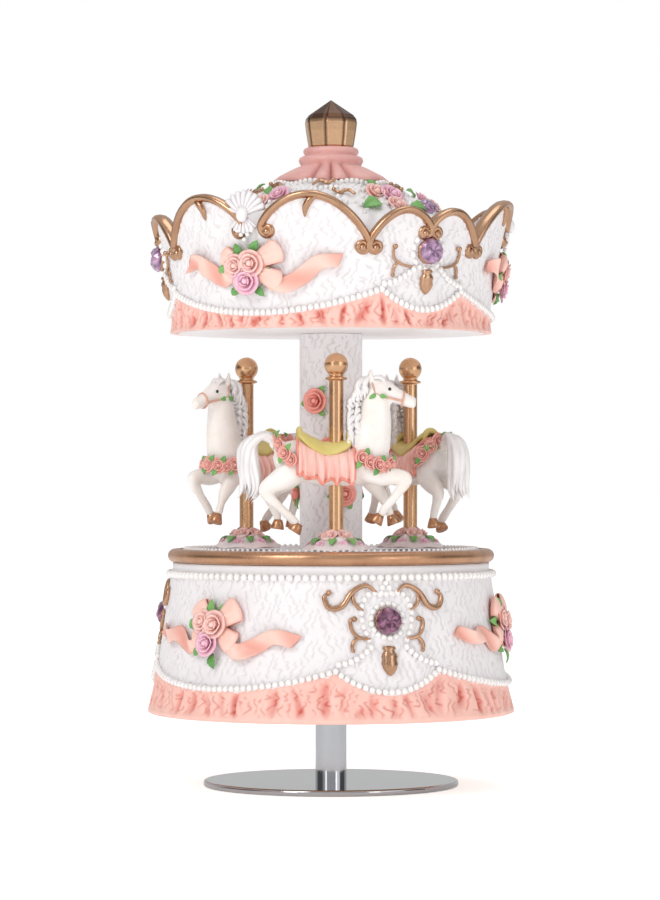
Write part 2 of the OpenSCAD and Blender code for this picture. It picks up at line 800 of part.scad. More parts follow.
module finial() {
    r = finial_d / 2;
    facets = 8;
    color("goldenrod") translate([0, 0, finial_z + seat]) {
        cylinder(h = finial_h * 0.54, r1 = r * 0.86, r2 = r, $fn = facets);
        translate([0, 0, finial_h * 0.54]) cylinder(h = finial_h * 0.16, r1 = r, r2 = r * 0.86, $fn = facets);
        translate([0, 0, finial_h * 0.7]) cylinder(h = finial_h * 0.3 - seat, r1 = r * 0.86, r2 = 0.3, $fn = facets);
    }
}

// ---------------------------------------------------------------- movement

bed_z = cover_top + seat;
bed_top = bed_z + bed_t;
bed_screw_d = 2.4;
bed_screws = [[-9, 14], [-9, -14], [24, 12]];
bed_x = [-13, 33.4];
bed_y = [-21, 19];

// The wheel on the arbor carries its teeth on its upper face, 36 teeth to the pinion's 12
spring_teeth = 36;
pinion_teeth = 12;
tooth_pitch = 1.57;
wheel_r = spring_teeth * tooth_pitch / (2 * PI);
pinion_r = pinion_teeth * tooth_pitch / (2 * PI);
wheel_z = bed_top + spring_h + 1.5;
wheel_t = 1.5;
tooth_h = 1.1;
wheel_face = 1.4;
axis_z = wheel_z + wheel_t + tooth_h * 0.5 + pinion_r;

// Places along the cylinder's axis
front_bracket_x = max(spring_d / 2, wheel_r + wheel_face / 2) + 0.7;
bracket_t = 1;
cylinder_x = front_bracket_x + bracket_t + 0.7;
gear_x = cylinder_x + cylinder_l + 0.6;
gear_t = 1.4;
rear_bracket_x = gear_x + gear_t + 0.5;

// Train: 40 teeth on the cylinder's gear drive 10 on the idler, whose 12 drive the worm
gear_module = 0.4;
gear_teeth = 40;
idler_teeth = 10;
idler_y = gear_module * (gear_teeth + idler_teeth) / 2;
worm_wheel_r = 3.1;
worm_r = 1.4;
spindle_d = 0.8;
worm_x = 21;
worm_y = idler_y + worm_wheel_r + worm_r + 2 * run;
governor_top = 12.4;

// Outline of a spur wheel with straight-sided teeth and a tooth centred on +X
module spur_outline(teeth, root_r, tip_r) {
    step = 360 / teeth;
    polygon([for (i = [0:teeth - 1]) each [
        root_r * [cos(step * (i - 0.24)), sin(step * (i - 0.24))],
        tip_r * [cos(step * (i - 0.1)), sin(step * (i - 0.1))],
        tip_r * [cos(step * (i + 0.1)), sin(step * (i + 0.1))],
        root_r * [cos(step * (i + 0.24)), sin(step * (i + 0.24))]
    ]]);
}

// Puts its children, drawn around Z, on an axis along +X at y and the cylinder's height
module along_x(x, y) {
    translate([x, y, axis_z]) rotate([90, 0, 90]) children();
}

module winding_arbor() {
    bottom = plate_screw_l + 0.5;
    color("silver") translate([0, 0, bottom]) cylinder(h = wheel_z + wheel_t + 0.6 - bottom, d = arbor_d, $fn = 48);
}

module spring_wheel() {
    color("goldenrod") difference() {
        union() {
            translate([0, 0, wheel_z]) cylinder(h = wheel_t, r = wheel_r + wheel_face / 2);
            for (i = [0:spring_teeth - 1]) rotate([0, 0, 360 * i / spring_teeth])
                translate([wheel_r - wheel_face / 2, 0, wheel_z + wheel_t - 0.2]) rotate([90, 0, 90])
                    linear_extrude(wheel_face - 0.1)
                        polygon([[-0.36, 0], [-0.18, tooth_h + 0.2], [0.18, tooth_h + 0.2], [0.36, 0]]);
        }
        translate([0, 0, wheel_z - 1]) cylinder(h = wheel_t + 2, d = arbor_d + 2 * seat, $fn = 48);
    }
}

bridge_x = [cylinder_x, cylinder_x + cylinder_l];
bridge_y = [-20.5, -15];
comb_z = axis_z - 0.6;
comb_t = 1.2;
comb_tip_y = -cylinder_d / 2 - 0.35;
comb_screw_x = [bridge_x[0] + 3.5, bridge_x[1] - 3.5];
comb_screw_d = 2.2;

module bedplate() {
    color("lightgray") difference() {
        union() {
            translate([0, 0, bed_z]) intersection() {
                translate([bed_x[0], bed_y[0], 0])
                    cube([bed_x[1] - bed_x[0], bed_y[1] - bed_y[0], bed_t]);
                cylinder(h = bed_t, r = 36);
            }
            translate([bridge_x[0], bridge_y[0], bed_top - 0.5])
                cube([cylinder_l, bridge_y[1] - bridge_y[0], comb_z - bed_top + 0.5]);
        }
        translate([0, 0, bed_z - 1]) cylinder(h = bed_t + 2, d = arbor_d + 2 * run, $fn = 48);
        for (spot = bed_screws)
            translate([spot.x, spot.y, bed_z - 1]) cylinder(h = bed_t + 2, d = bed_screw_d + 2 * seat, $fn = 32);
        for (x = comb_screw_x)
            translate([x, (bridge_y[0] + bridge_y[1]) / 2, comb_z - 6])
                cylinder(h = 7, d = comb_screw_d + 2 * seat, $fn = 32);
    }
}

module movement_screws() {
    color("gray") for (spot = bed_screws) translate([spot.x, spot.y, drum_z + cover_z])
        screw_up(bed_screw_d, cover_head_d - 2 * seat, cover_t + bed_t - 0.2);
}

module spring_housing() {
    wall = 0.8;
    color("goldenrod") difference() {
        translate([0, 0, bed_top + seat]) cylinder(h = spring_h, d = spring_d);
        translate([0, 0, bed_top]) cylinder(h = spring_h - wall, d = spring_d - 2 * wall);
        translate([0, 0, bed_top]) cylinder(h = spring_h + 2, d = arbor_d + 2 * air);
    }
}

module mainspring() {
    turns = 6;
    per_turn = 20;
    inner_r = arbor_d / 2 + 0.6;
    outer_r = spring_d / 2 - 1.6;
    function spiral(i, out) = let (u = i / (turns * per_turn))
        (inner_r + (outer_r - inner_r) * u + out) * [cos(360 * turns * u), sin(360 * turns * u)];
    n = turns * per_turn;
    color("slategray") translate([0, 0, bed_top + 0.8]) linear_extrude(spring_h - 2.4)
        polygon(concat([for (i = [0:n]) spiral(i, 0)], [for (i = [n:-1:0]) spiral(i, strip_t)]));
}

module comb() {
    pitch = cylinder_l / notes;
    color("silver") difference() {
        translate([0, 0, comb_z + seat]) {
            translate([bridge_x[0], bridge_y[0], 0]) cube([cylinder_l, bridge_y[1] - bridge_y[0], comb_t]);
            for (i = [0:notes - 1])
                translate([bridge_x[0] + pitch * (i + 0.12), bridge_y[1] - 0.5, 0])
                    cube([pitch * 0.76, comb_tip_y - bridge_y[1] + 0.5, 0.6]);
        }
        for (x = comb_screw_x)
            translate([x, (bridge_y[0] + bridge_y[1]) / 2, comb_z - 1])
                cylinder(h = comb_t + 2, d = comb_screw_d + 2 * seat, $fn = 32);
    }
}

module comb_screws() {
    head_h = 1.2;
    color("gray") for (x = comb_screw_x)
        translate([x, (bridge_y[0] + bridge_y[1]) / 2, comb_z + comb_t + 2 * seat]) {
            cylinder(h = head_h, d = comb_screw_d + 1.8, $fn = 32);
            translate([0, 0, -5]) cylinder(h = 5.1, d = comb_screw_d, $fn = 32);
        }
}

// Upright plate that stands on the bedplate, from y0 to y1, at x
module upright_plate(x, t, y0, y1, top) {
    translate([x, y0, bed_top + seat]) cube([t, y1 - y0, top - bed_top - seat]);
}

module shaft_bore(x, y) {
    along_x(x - 1, y) cylinder(h = bracket_t + 2.4, d = shaft_d + 2 * run, $fn = 32);
}

module cylinder_brackets() {
    color("lightgray") difference() {
        union() {
            upright_plate(front_bracket_x, bracket_t, -4, 4, axis_z + 3);
            upright_plate(rear_bracket_x, bracket_t, -4, idler_y + 3, axis_z + 3);
        }
        shaft_bore(front_bracket_x, 0);
        shaft_bore(rear_bracket_x, 0);
        shaft_bore(rear_bracket_x, idler_y);
    }
}

module governor_bracket() {
    post_x = 13.6;
    arm_y = worm_y - 2;
    top = axis_z + governor_top;
    color("lightgray") difference() {
        union() {
            upright_plate(post_x, bracket_t, cylinder_d / 2 + 1, worm_y + 3, top);
            for (z = [bed_top + 1, top - 1.4])
                translate([post_x, arm_y, z]) cube([worm_x + 2 - post_x, 4, 1.4]);
        }
        shaft_bore(post_x, idler_y);
        translate([worm_x, worm_y, bed_top]) cylinder(h = 60, d = spindle_d + 2 * run, $fn = 24);
    }
}

module cylinder_shaft() {
    end = rear_bracket_x + bracket_t + 0.5;
    start = wheel_r - wheel_face / 2 - 0.6;
    color("silver") along_x(start, 0) union() {
        cylinder(h = end - start, d = shaft_d, $fn = 32);
        translate([0, 0, 0.6]) linear_extrude(wheel_face)
            rotate(-90 + 180 / pinion_teeth) spur_outline(pinion_teeth, pinion_r - 0.75, pinion_r + 0.4);
    }
}

module music_cylinder() {
    color("goldenrod") along_x(cylinder_x, 0) difference() {
        union() {
            cylinder(h = cylinder_l, d = cylinder_d - 0.4);
            for (i = [0:notes - 1], j = [0:2])
                rotate([0, 0, 67 * i + 113 * j]) translate([cylinder_d / 2 - 0.5, 0, (i + 0.5) * cylinder_l / notes])
                    rotate([0, 90, 0]) cylinder(h = 0.6, d = 0.4, $fn = 8);
        }
        translate([0, 0, -1]) cylinder(h = cylinder_l + 2, d = shaft_d + 2 * seat, $fn = 32);
    }
}

module cylinder_gear() {
    r = gear_module * gear_teeth / 2;
    color("goldenrod") along_x(gear_x, 0) linear_extrude(gear_t) difference() {
        spur_outline(gear_teeth, r - 0.4, r + 0.28);
        circle(d = shaft_d + 2 * seat, $fn = 32);
    }
}

module idler_wheel() {
    r = gear_module * idler_teeth / 2;
    start = 13;
    end = rear_bracket_x + bracket_t + 0.5;
    color("goldenrod") union() {
        along_x(start, idler_y) cylinder(h = end - start, d = shaft_d, $fn = 32);
        along_x(gear_x, idler_y) linear_extrude(gear_t)
            rotate(180 + 180 / idler_teeth) spur_outline(idler_teeth, r - 0.45, r + 0.28);
        along_x(worm_x - 1, idler_y) linear_extrude(2) spur_outline(12, worm_wheel_r - 0.9, worm_wheel_r);
    }
}

module governor() {
    turns = 4;
    rings = 32;
    length = 6.4;
    low = bed_top + 1.2;
    high = axis_z + governor_top - 0.2;
    fly_r = 4.6;
    core_r = 1;
    color("darkgray") translate([worm_x, worm_y, 0]) union() {
        translate([0, 0, low]) cylinder(h = axis_z - length / 2 + 0.3 - low, d = spindle_d, $fn = 24);
        translate([0, 0, axis_z + length / 2 - 0.3])
            cylinder(h = high - axis_z - length / 2 + 0.3, d = spindle_d, $fn = 24);
        loft([for (i = [0:rings]) let (a = 360 * turns * i / rings) [for (j = [0:9])
            [(worm_r - core_r) * cos(a) + core_r * cos(36 * j), (worm_r - core_r) * sin(a) - core_r * sin(36 * j),
                axis_z + length * (i / rings - 0.5)]]]);
        translate([-fly_r, -0.2, axis_z + 5]) cube([2 * fly_r, 0.4, 5.4]);
    }
}

// ---------------------------------------------------------------- nodes

base_plate();
plate_screw();
pillar();
winding_arbor();
spring_wheel();
drum_shell();
drum_ruffle();
drum_pearl_swags();
drum_bead_ring();
drum_bows();
drum_roses();
drum_gems();
drum_gem_bezels();
drum_scrolls();
bottom_cover();
cover_screws();
deck();
deck_rim();
horse(0);  // horse_1
horse(1);  // horse_2
horse(2);  // horse_3
saddle(0);  // saddle_1
saddle(1);  // saddle_2
saddle(2);  // saddle_3
pole(0);  // pole_1
pole(1);  // pole_2
pole(2);  // pole_3
mound(0);  // mound_1
mound(1);  // mound_2
mound(2);  // mound_3
column();
column_roses();
canopy_floor();
canopy_crown();
canopy_ruffle();
canopy_pearls();
crown_trim();
crown_shells();
canopy_bows();
canopy_roses();
canopy_gems();
canopy_scrolls();
roof_dome();
roof_garland();
roof_cap();
finial();
bedplate();
spring_housing();
mainspring();
comb();
comb_screws();
cylinder_brackets();
governor_bracket();
movement_screws();
music_cylinder();
cylinder_gear();
cylinder_shaft();
idler_wheel();
governor();
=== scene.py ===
"""Carousel music box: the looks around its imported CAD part.

Lengths inside the script are millimetres, in the part's own frame: +Z is up, the front faces -Y
and a turn is counted from the front, to the right.
"""

import math

import bmesh
import bpy
import numpy as np
from bpy.props import FloatProperty, FloatVectorProperty, IntProperty, PointerProperty
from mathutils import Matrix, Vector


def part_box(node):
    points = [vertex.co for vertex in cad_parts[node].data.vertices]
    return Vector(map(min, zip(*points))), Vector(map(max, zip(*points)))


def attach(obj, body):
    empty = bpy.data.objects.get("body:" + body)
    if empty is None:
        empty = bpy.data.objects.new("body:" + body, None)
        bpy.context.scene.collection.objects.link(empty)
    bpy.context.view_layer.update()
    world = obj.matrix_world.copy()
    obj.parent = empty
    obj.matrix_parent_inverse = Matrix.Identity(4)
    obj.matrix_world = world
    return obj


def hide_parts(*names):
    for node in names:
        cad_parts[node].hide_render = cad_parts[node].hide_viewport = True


bl_info = {
    "name": "Carousel music box",
    "version": (1, 0, 0),
    "blender": (4, 5, 0),
    "location": "View3D > Sidebar > Carousel",
    "description": "Builds the visible pieces of a wind-up carousel music box",
    "category": "Add Mesh",
}

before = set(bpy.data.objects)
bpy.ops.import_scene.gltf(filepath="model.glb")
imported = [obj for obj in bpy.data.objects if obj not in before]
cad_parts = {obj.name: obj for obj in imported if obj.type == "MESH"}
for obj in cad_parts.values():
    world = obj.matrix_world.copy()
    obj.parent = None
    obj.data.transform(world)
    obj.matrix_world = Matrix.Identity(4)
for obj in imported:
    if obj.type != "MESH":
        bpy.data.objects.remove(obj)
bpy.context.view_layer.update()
MM = 0.001
TURN = 2 * math.pi


def low(node):
    """Lowest corner of a CAD node, in mm."""
    return np.array(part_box(node)[0]) / MM


def high(node):
    """Highest corner of a CAD node, in mm."""
    return np.array(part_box(node)[1]) / MM


def around(node):
    """Largest radius of a round CAD node about the middle, in mm."""
    return (high(node)[0] - low(node)[0]) / 2


# Heights and radii that come from the frame
DRUM_Z = low("drum_shell")[2]
DRUM_TOP = high("drum_shell")[2]
DRUM_R = around("drum_shell")
RUFFLE_TOP = high("drum_ruffle")[2]
RUFFLE_R = around("drum_ruffle")
BEAD_Z = (low("drum_bead_ring")[2] + high("drum_bead_ring")[2]) / 2
DECK_TOP = high("deck")[2]
DECK_R = around("deck")
FLOOR_Z = low("canopy_floor")[2]
CROWN_Z = low("canopy_crown")[2]
CANOPY_R = around("canopy_ruffle")
CAP_Z = low("roof_cap")[2]
FINIAL_Z = low("finial")[2]
FINIAL_H = high("finial")[2] - FINIAL_Z
COLUMN_R = around("column") - 1.6
POLE_R = 1.8
POLE_CIRCLE = 24.5
HORSE_Z = DECK_TOP + 21.2

# Turns of the repeated ornaments, in degrees; each comes three times around
THIRDS = (0, 120, 240)
POLE_AT = 3
DRUM_GEM_AT = 19
DRUM_BOW_AT = DRUM_GEM_AT - 60
CANOPY_GEM_AT = 34
CANOPY_BOW_AT = CANOPY_GEM_AT - 62
DRUM_GEM_Z = DRUM_Z + 25.2
DRUM_BOW_Z = BEAD_Z - 12.2
CANOPY_GEM_Z = FLOOR_Z + 18.9
CANOPY_BOW_Z = FLOOR_Z + 15.2

# Degrees from a gem to the peaks of the pearl border, on the drum and on the canopy
DRUM_PEAK = 17.5
CANOPY_PEAK = 16.5
# The crown's edge: where the low and the tall arch end, in degrees from a gem, and the heights of the dips between
LOW_ARCH_END = 21.5
TALL_ARCH_END = 57.0
GEM_DIP = 24.2
ARCH_DIP = 20.4
# Half the distance between a horse's left and right hooves
HOOF_OUT = 2.7
# Fine wall detail: columns around and depth of the crackle's grooves
WALL_COLUMNS = 900
FRILL_COLUMNS = 860
CRACKLE_CUT = 0.2

# ---------------------------------------------------------------- numbers to surfaces


def smooth(t):
    """Eases from 0 to 1: 3t^2 - 2t^3 of t held between 0 and 1."""
    t = np.clip(t, 0, 1)
    return t * t * (3 - 2 * t)


def spline(points, count):
    """Points along a Catmull-Rom curve through the given ones, count of them, evenly in parameter."""
    p = np.asarray(points, float)
    p = np.vstack([2 * p[0] - p[1], p, 2 * p[-1] - p[-2]])
    s = np.linspace(0, len(p) - 3, count)
    i = np.minimum(s.astype(int), len(p) - 4)
    t = (s - i)[:, None]
    a, b, c, d = p[i], p[i + 1], p[i + 2], p[i + 3]
    return 0.5 * (2 * b + (c - a) * t + (2 * a - 5 * b + 4 * c - d) * t**2 + (3 * b - a - 3 * c + d) * t**3)


def evenly(path, pitch):
    """Points along a path at equal distances of about pitch, both ends included."""
    steps = np.linalg.norm(np.diff(path, axis=0), axis=1)
    s = np.concatenate([[0], np.cumsum(steps)])
    t = np.linspace(0, s[-1], max(2, int(round(s[-1] / pitch)) + 1))
    return np.stack([np.interp(t, s, path[:, k]) for k in range(3)], axis=1)


def surface(points, wrap_u=False, wrap_v=False, hollow=0.0):
    """Quads over a grid of points (u, v, xyz); the face normal is d/du x d/dv."""
    nu, nv = points.shape[:2]
    u = np.arange(nu if wrap_u else nu - 1)[:, None]
    v = np.arange(nv if wrap_v else nv - 1)[None, :]
    a = u * nv + v
    b = ((u + 1) % nu) * nv + v
    c = ((u + 1) % nu) * nv + (v + 1) % nv
    d = u * nv + (v + 1) % nv
    faces = np.stack([a, b, c, d], axis=-1).reshape(-1, 4)
    depth = np.broadcast_to(hollow, (nu, nv)).reshape(-1)
    return points.reshape(-1, 3), faces, depth


def tube(path, radius, sides=8, flat=1.0, up=(0, 0, 1), grooves=0, depth=0.0):
    """Round bar along a path: each ring is path + radius (cos a side + flat sin a lift), closed at both ends.
    Grooves cut the ring's radius by depth, so many times around."""
    path = np.asarray(path, float)
    n = len(path)
    radius = np.broadcast_to(radius, (n,)).astype(float)
    t = np.gradient(path, axis=0)
    t /= np.linalg.norm(t, axis=1)[:, None] + 1e-12
    side = np.cross(t, np.broadcast_to(up, (n, 3)))
    side /= np.linalg.norm(side, axis=1)[:, None] + 1e-12
    lift = np.cross(side, t)
    a = np.arange(sides) * TURN / sides
    ring = 1 - depth * (0.5 - 0.5 * np.cos(grooves * a))
    body = path[:, None] + radius[:, None, None] * ring[None, :, None] * (
        np.cos(a)[None, :, None] * side[:, None] + flat * np.sin(a)[None, :, None] * lift[:, None])
    ends = [np.repeat(path[i][None, None], sides, axis=1) for i in (0, -1)]
    return surface(np.concatenate([ends[0], body, ends[1]]), wrap_v=True)


def strip(top, thickness, lift=(0, 0, 1), hollow=0.0):
    """Closed thin sheet: a grid and its copy sunk by thickness along lift, joined at all four borders."""
    bottom = top - thickness * np.broadcast_to(lift, top.shape)
    loop = np.concatenate([top, bottom[:, ::-1]], axis=1)
    ends = [np.repeat(loop[i].mean(axis=0)[None, None], loop.shape[1], axis=1) for i in (0, -1)]
    depth = np.broadcast_to(hollow, top.shape[:2])
    depth = np.concatenate([depth, 0 * depth], axis=1)
    return surface(np.concatenate([ends[0], loop, ends[1]]), wrap_v=True,
                   hollow=np.concatenate([depth[:1], depth, depth[-1:]]))


def ball(centre, r, sides=8, rows=5, stretch=1.0):
    """Sphere of few faces: rings of radius r sin b at height r stretch cos b."""
    b = np.linspace(0, math.pi, rows + 1)
    a = np.arange(sides) * TURN / sides
    x = np.sin(b)[:, None] * np.cos(a)[None]
    y = np.sin(b)[:, None] * np.sin(a)[None]
    z = -np.cos(b)[:, None] * np.ones_like(a)[None]
    points = np.stack([x * r, y * r, z * r * stretch], axis=-1) + np.asarray(centre, float)
    return surface(points[::-1], wrap_v=True)


def balls(centres, r, sides=7, rows=4, stretch=1.0):
    """One small sphere at each of the given centres."""
    v, f, h = ball((0, 0, 0), r, sides, rows, stretch)
    c = np.asarray(centres, float)
    verts = (c[:, None] + v[None]).reshape(-1, 3)
    faces = (np.arange(len(c))[:, None, None] * len(v) + f[None]).reshape(-1, 4)
    return verts, faces, np.zeros(len(verts))


def join(parts):
    """One part of several."""
    verts, faces, depth, start = [], [], [], 0
    for v, f, h in parts:
        verts.append(v)
        faces.append(f + start)
        depth.append(h)
        start += len(v)
    return np.concatenate(verts), np.concatenate(faces), np.concatenate(depth)


def moved(part, matrix, offset=(0, 0, 0)):
    """A part turned by a 3x3 matrix and then shifted."""
    return part[0] @ np.asarray(matrix, float).T + np.asarray(offset, float), part[1], part[2]


def shifted(part, offset):
    """A part shifted without a turn."""
    return part[0] + np.asarray(offset, float), part[1], part[2]


def spin(degrees, axis="z"):
    """Rotation matrix about one axis."""
    c, s = math.cos(math.radians(degrees)), math.sin(math.radians(degrees))
    return {"x": np.array([[1, 0, 0], [0, c, -s], [0, s, c]]),
            "y": np.array([[c, 0, s], [0, 1, 0], [-s, 0, c]]),
            "z": np.array([[c, -s, 0], [s, c, 0], [0, 0, 1]])}[axis]


def bent(part, turn, z, skin):
    """Lays a flat part on a round wall: x runs around it, y up it and the third way out of it."""
    v = part[0]
    height = z + v[:, 1]
    wall = skin(height)
    a = math.radians(turn) + v[:, 0] / wall
    r = wall + v[:, 2]
    return np.stack([r * np.sin(a), -r * np.cos(a), height], axis=1), part[1], part[2]


def facing(part, turn, r, z, lean=0.0):
    """Stands a flat part up, facing outwards at a turn, without bending it; lean tips its face up."""
    m = spin(turn) @ np.array([[1, 0, 0], [0, 0, -1], [0, 1, 0]]) @ spin(-lean, "x")
    a = math.radians(turn)
    return moved(part, m, (r * math.sin(a), -r * math.cos(a), z))


def thrice(part):
    """The part and its copies a third and two thirds of a turn on."""
    return join([moved(part, spin(t)) for t in THIRDS])


def squiggles(angle, z, pitch, radius, seed, width=0.24):
    """Broken upright lines, 0 to 1, that wriggle: line number = lines round the wall x share of the turn, pushed
    aside by
    two sines of height whose phases drift around the wall; a third sine breaks the lines into short worms."""
    s = np.random.default_rng(seed).random(8) * TURN
    near = lambda mm: max(1, round(TURN * radius / mm))
    drift = lambda mm, k: np.sin(near(mm) * angle + s[k])
    aside = 0.17 * np.sin(z * TURN / 1.9 + 2.6 * drift(19, 0) + 1.2 * np.sin(z * 0.9 + s[1]))
    aside = aside + 0.40 * np.sin(z * TURN / 6.7 + 3.0 * drift(31, 2) + 1.7 * drift(13, 3))
    off = (near(pitch) * angle / TURN + aside + 0.5) % 1.0 - 0.5
    line = smooth(1.6 - np.abs(off) * pitch / width)
    worm = np.sin(z * TURN / 7.3 + 4.0 * drift(11, 4) + 2.0 * drift(17, 5) + s[6])
    return line * smooth((worm + 0.8) / 0.6)


def add_piece(name, groups, body, replaces=(), shading="smooth"):
    """Makes one mesh of {material: part}, closes its seams, hangs it on its body and hides the CAD nodes that it
    replaces.
    """
    mats = [material(key) for key in groups]
    parts = list(groups.values())
    verts, faces, depth = join(parts)
    index = np.concatenate([np.full(len(p[1]), i) for i, p in enumerate(parts)])
    mesh = bpy.data.meshes.new(name)
    mesh.from_pydata((verts * MM).tolist(), [], faces.tolist())
    for m in mats:
        mesh.materials.append(m)
    mesh.polygons.foreach_set("material_index", index.astype(np.int32))
    attribute = mesh.attributes.new("hollow", "FLOAT", "POINT")
    attribute.data.foreach_set("value", depth.astype(np.float32))
    bm = bmesh.new()
    bm.from_mesh(mesh)
    bmesh.ops.remove_doubles(bm, verts=bm.verts, dist=1e-7)
    bmesh.ops.dissolve_degenerate(bm, edges=bm.edges, dist=1e-8)
    bm.to_mesh(mesh)
    bm.free()
    mesh.polygons.foreach_set("use_smooth", np.full(len(mesh.polygons), shading == "smooth"))
    mesh.update()
    piece = bpy.data.objects.new(name, mesh)
    bpy.context.scene.collection.objects.link(piece)
    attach(piece, body)
    if replaces:
        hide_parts(*replaces)
    return piece


# ---------------------------------------------------------------- the walls


def drum_skin(z):
    """Radius of the drum's face: a cone above the ruffle, and a curve that flares to the foot below its top."""
    z = np.asarray(z, float)
    cone = DRUM_R - 3.0 * (z - RUFFLE_TOP) / 20.6
    t = np.clip((RUFFLE_TOP - z) / (RUFFLE_TOP - DRUM_Z), 0, 1)
    return np.where(z > RUFFLE_TOP, cone, DRUM_R + (RUFFLE_R - DRUM_R - 0.2) * t**1.1)


def canopy_skin(z):
    """Radius of the crown's face: it leans out with height, and the ruffle's foot stands out below."""
    z = np.asarray(z, float)
    u = z - CROWN_Z
    wall = CANOPY_R - 0.9 + 0.11 * u + 0.0025 * u * u
    t = np.clip((FLOOR_Z + 7 - z) / 7, 0, 1)
    return np.where(u > 0, wall, CANOPY_R - 0.9) + 0.75 * t**1.5


def hang(u):
    """Share of its sag that a string has at share u of the way between its ends."""
    return 4 * u * (1 - u)


def swag_line(turn, gem_at, peak, sag_small, sag_big, half):
    """Height of the pearl border: it hangs low under a gem, rises to peaks half a gap away, and hangs again."""
    t = (np.asarray(turn, float) - gem_at + half) % 120
    small = peak - sag_small * hang(np.clip(t / (2 * half), 0, 1))
    big = peak - sag_big * hang(np.clip((t - 2 * half) / (120 - 2 * half), 0, 1))
    return np.where(t < 2 * half, small, big)


def drum_border(turn):
    """Height of the drum's pearl border at a turn."""
    return swag_line(turn, DRUM_GEM_AT, RUFFLE_TOP + 0.6, 5.2, 4.8, DRUM_PEAK)


def canopy_border(turn):
    """Height of the canopy's pearl border at a turn."""
    return swag_line(turn, CANOPY_GEM_AT, FLOOR_Z + 9.6, 4.9, 5.7, CANOPY_PEAK)


def wall_ring(turns, rows, skin, lower, upper, carve):
    """Rows of a wall between two heights that change with the turn; carve gives how far it is cut, and its hollow."""
    a = np.radians(turns)[:, None]
    v = np.linspace(0, 1, rows)[None]
    z = lower[:, None] + (upper - lower)[:, None] * v
    cut, depth = carve(a, z)
    r = skin(z) - cut
    return np.stack([r * np.sin(a), -r * np.cos(a), z], axis=-1), depth


def close_wall(outer, depth, thickness, turns):
    """Closed ring wall: the outer grid, a plain inner face thickness behind it, and the rims between."""
    r = np.hypot(outer[..., 0], outer[..., 1])
    scale = ((r - thickness) / r)[..., None]
    inner = outer * np.concatenate([scale, scale, np.ones_like(scale)], axis=-1)
    return surface(np.concatenate([outer, inner[:, [-1, 0]]], axis=1), wrap_u=True, wrap_v=True,
                   hollow=np.concatenate([depth, np.zeros((len(turns), 2))], axis=1))


def crackled(pitch, seed, cut, radius):
    """A carve of fine wriggling grooves, cut deep and pitch apart."""
    def carve(a, z):
        line = squiggles(a, z, pitch, radius, seed)
        # Besides the cut, the grooves' hollow paints them grey: painted shade in the crackle
        return cut * line, 0.4 * line
    return carve


def gathered(folds, seed, height, cut, radius, line_pitch):
    """A carve of gathered cloth: folds that fade towards the top, whose hollows wander, with fine creases on them."""
    rng = np.random.default_rng(seed)
    shifts = rng.random(6) * TURN

    def carve(a, z):
        foot, top = height
        v = np.clip((z - foot) / (top - foot), 0, 1)
        wander = 1.4 * np.sin(7 * a + shifts[0]) + 0.9 * np.sin(19 * a + shifts[1]) + 0.5 * np.sin(31 * a + 3 * v + shifts[2])
        wave = 0.5 - 0.5 * np.cos(folds * a + wander + 1.3 * np.sin(3.1 * v + 11 * a))
        strong = 0.35 + 0.65 * np.sin(23 * a + shifts[3]) ** 2
        band = smooth(v / 0.3) * smooth((1.0 - v) / 0.35)
        deep = strong * wave**3 * band
        line = squiggles(a, z, line_pitch, radius, seed + 1, 0.28) * band
        # The folds' hollows and the fine creases darken to deep coral: painted shade
        return cut * deep + 0.3 * line + 0.1 * wave * band, np.clip(0.8 * deep + 0.45 * line, 0, 1)
    return carve


def edge_height(t):
    """Height of the crown's edge above the canopy's underside, t degrees from the nearest gem:
    a low arch and then a tall one, each a sine raised to 0.7 over a sloping foot."""
    t = np.asarray(t, float)
    u = np.clip(t / LOW_ARCH_END, 0, 1)
    small = GEM_DIP - 3.8 * u + 6.3 * np.sin(np.pi * u) ** 0.7
    w = np.clip((t - LOW_ARCH_END) / (TALL_ARCH_END - LOW_ARCH_END), 0, 1)
    big = ARCH_DIP + 4 * w + 9.7 * np.abs(np.sin(np.pi * w)) ** 0.7
    return np.where(t < LOW_ARCH_END, small, big)


def from_gem(turn):
    """Degrees to the nearest gem of the crown."""
    t = (np.asarray(turn, float) - CANOPY_GEM_AT) % 120
    return np.minimum(t, 120 - t)


def build_drum_wall():
    """The drum's white wall with its crackle, from the pearl border to the lip, and the plain lining behind it."""
    cols, rows = WALL_COLUMNS, 78
    turns = np.arange(cols) * 360 / cols
    outer, depth = wall_ring(turns, rows, drum_skin, drum_border(turns) - 0.8, np.full(cols, BEAD_Z - 0.9),
                             crackled(sizes().crackle_pitch / MM, 3, CRACKLE_CUT, DRUM_R))
    a = np.radians(turns)[:, None]
    lip = [(drum_skin(BEAD_Z) + 0.1, BEAD_Z), (drum_skin(BEAD_Z) - 0.5, BEAD_Z + 1.3), (40.3, BEAD_Z + 1.8),
           (40.3, DRUM_TOP),
           (32.0, DRUM_TOP), (34.0, BEAD_Z - 2), (40.5, RUFFLE_TOP), (41.0, DRUM_Z + 2.6)]
    rings = np.stack([np.concatenate([r * np.sin(a), -r * np.cos(a), np.full_like(a, z)], axis=1) for r, z in lip],
                     axis=1)
    points = np.concatenate([outer, rings], axis=1)
    hollow = np.concatenate([depth, np.zeros((cols, len(lip)))], axis=1)
    wall = surface(points, wrap_u=True, wrap_v=True, hollow=hollow)
    add_piece("drum_wall", {"white_resin": wall}, "carousel", ("drum_shell",))


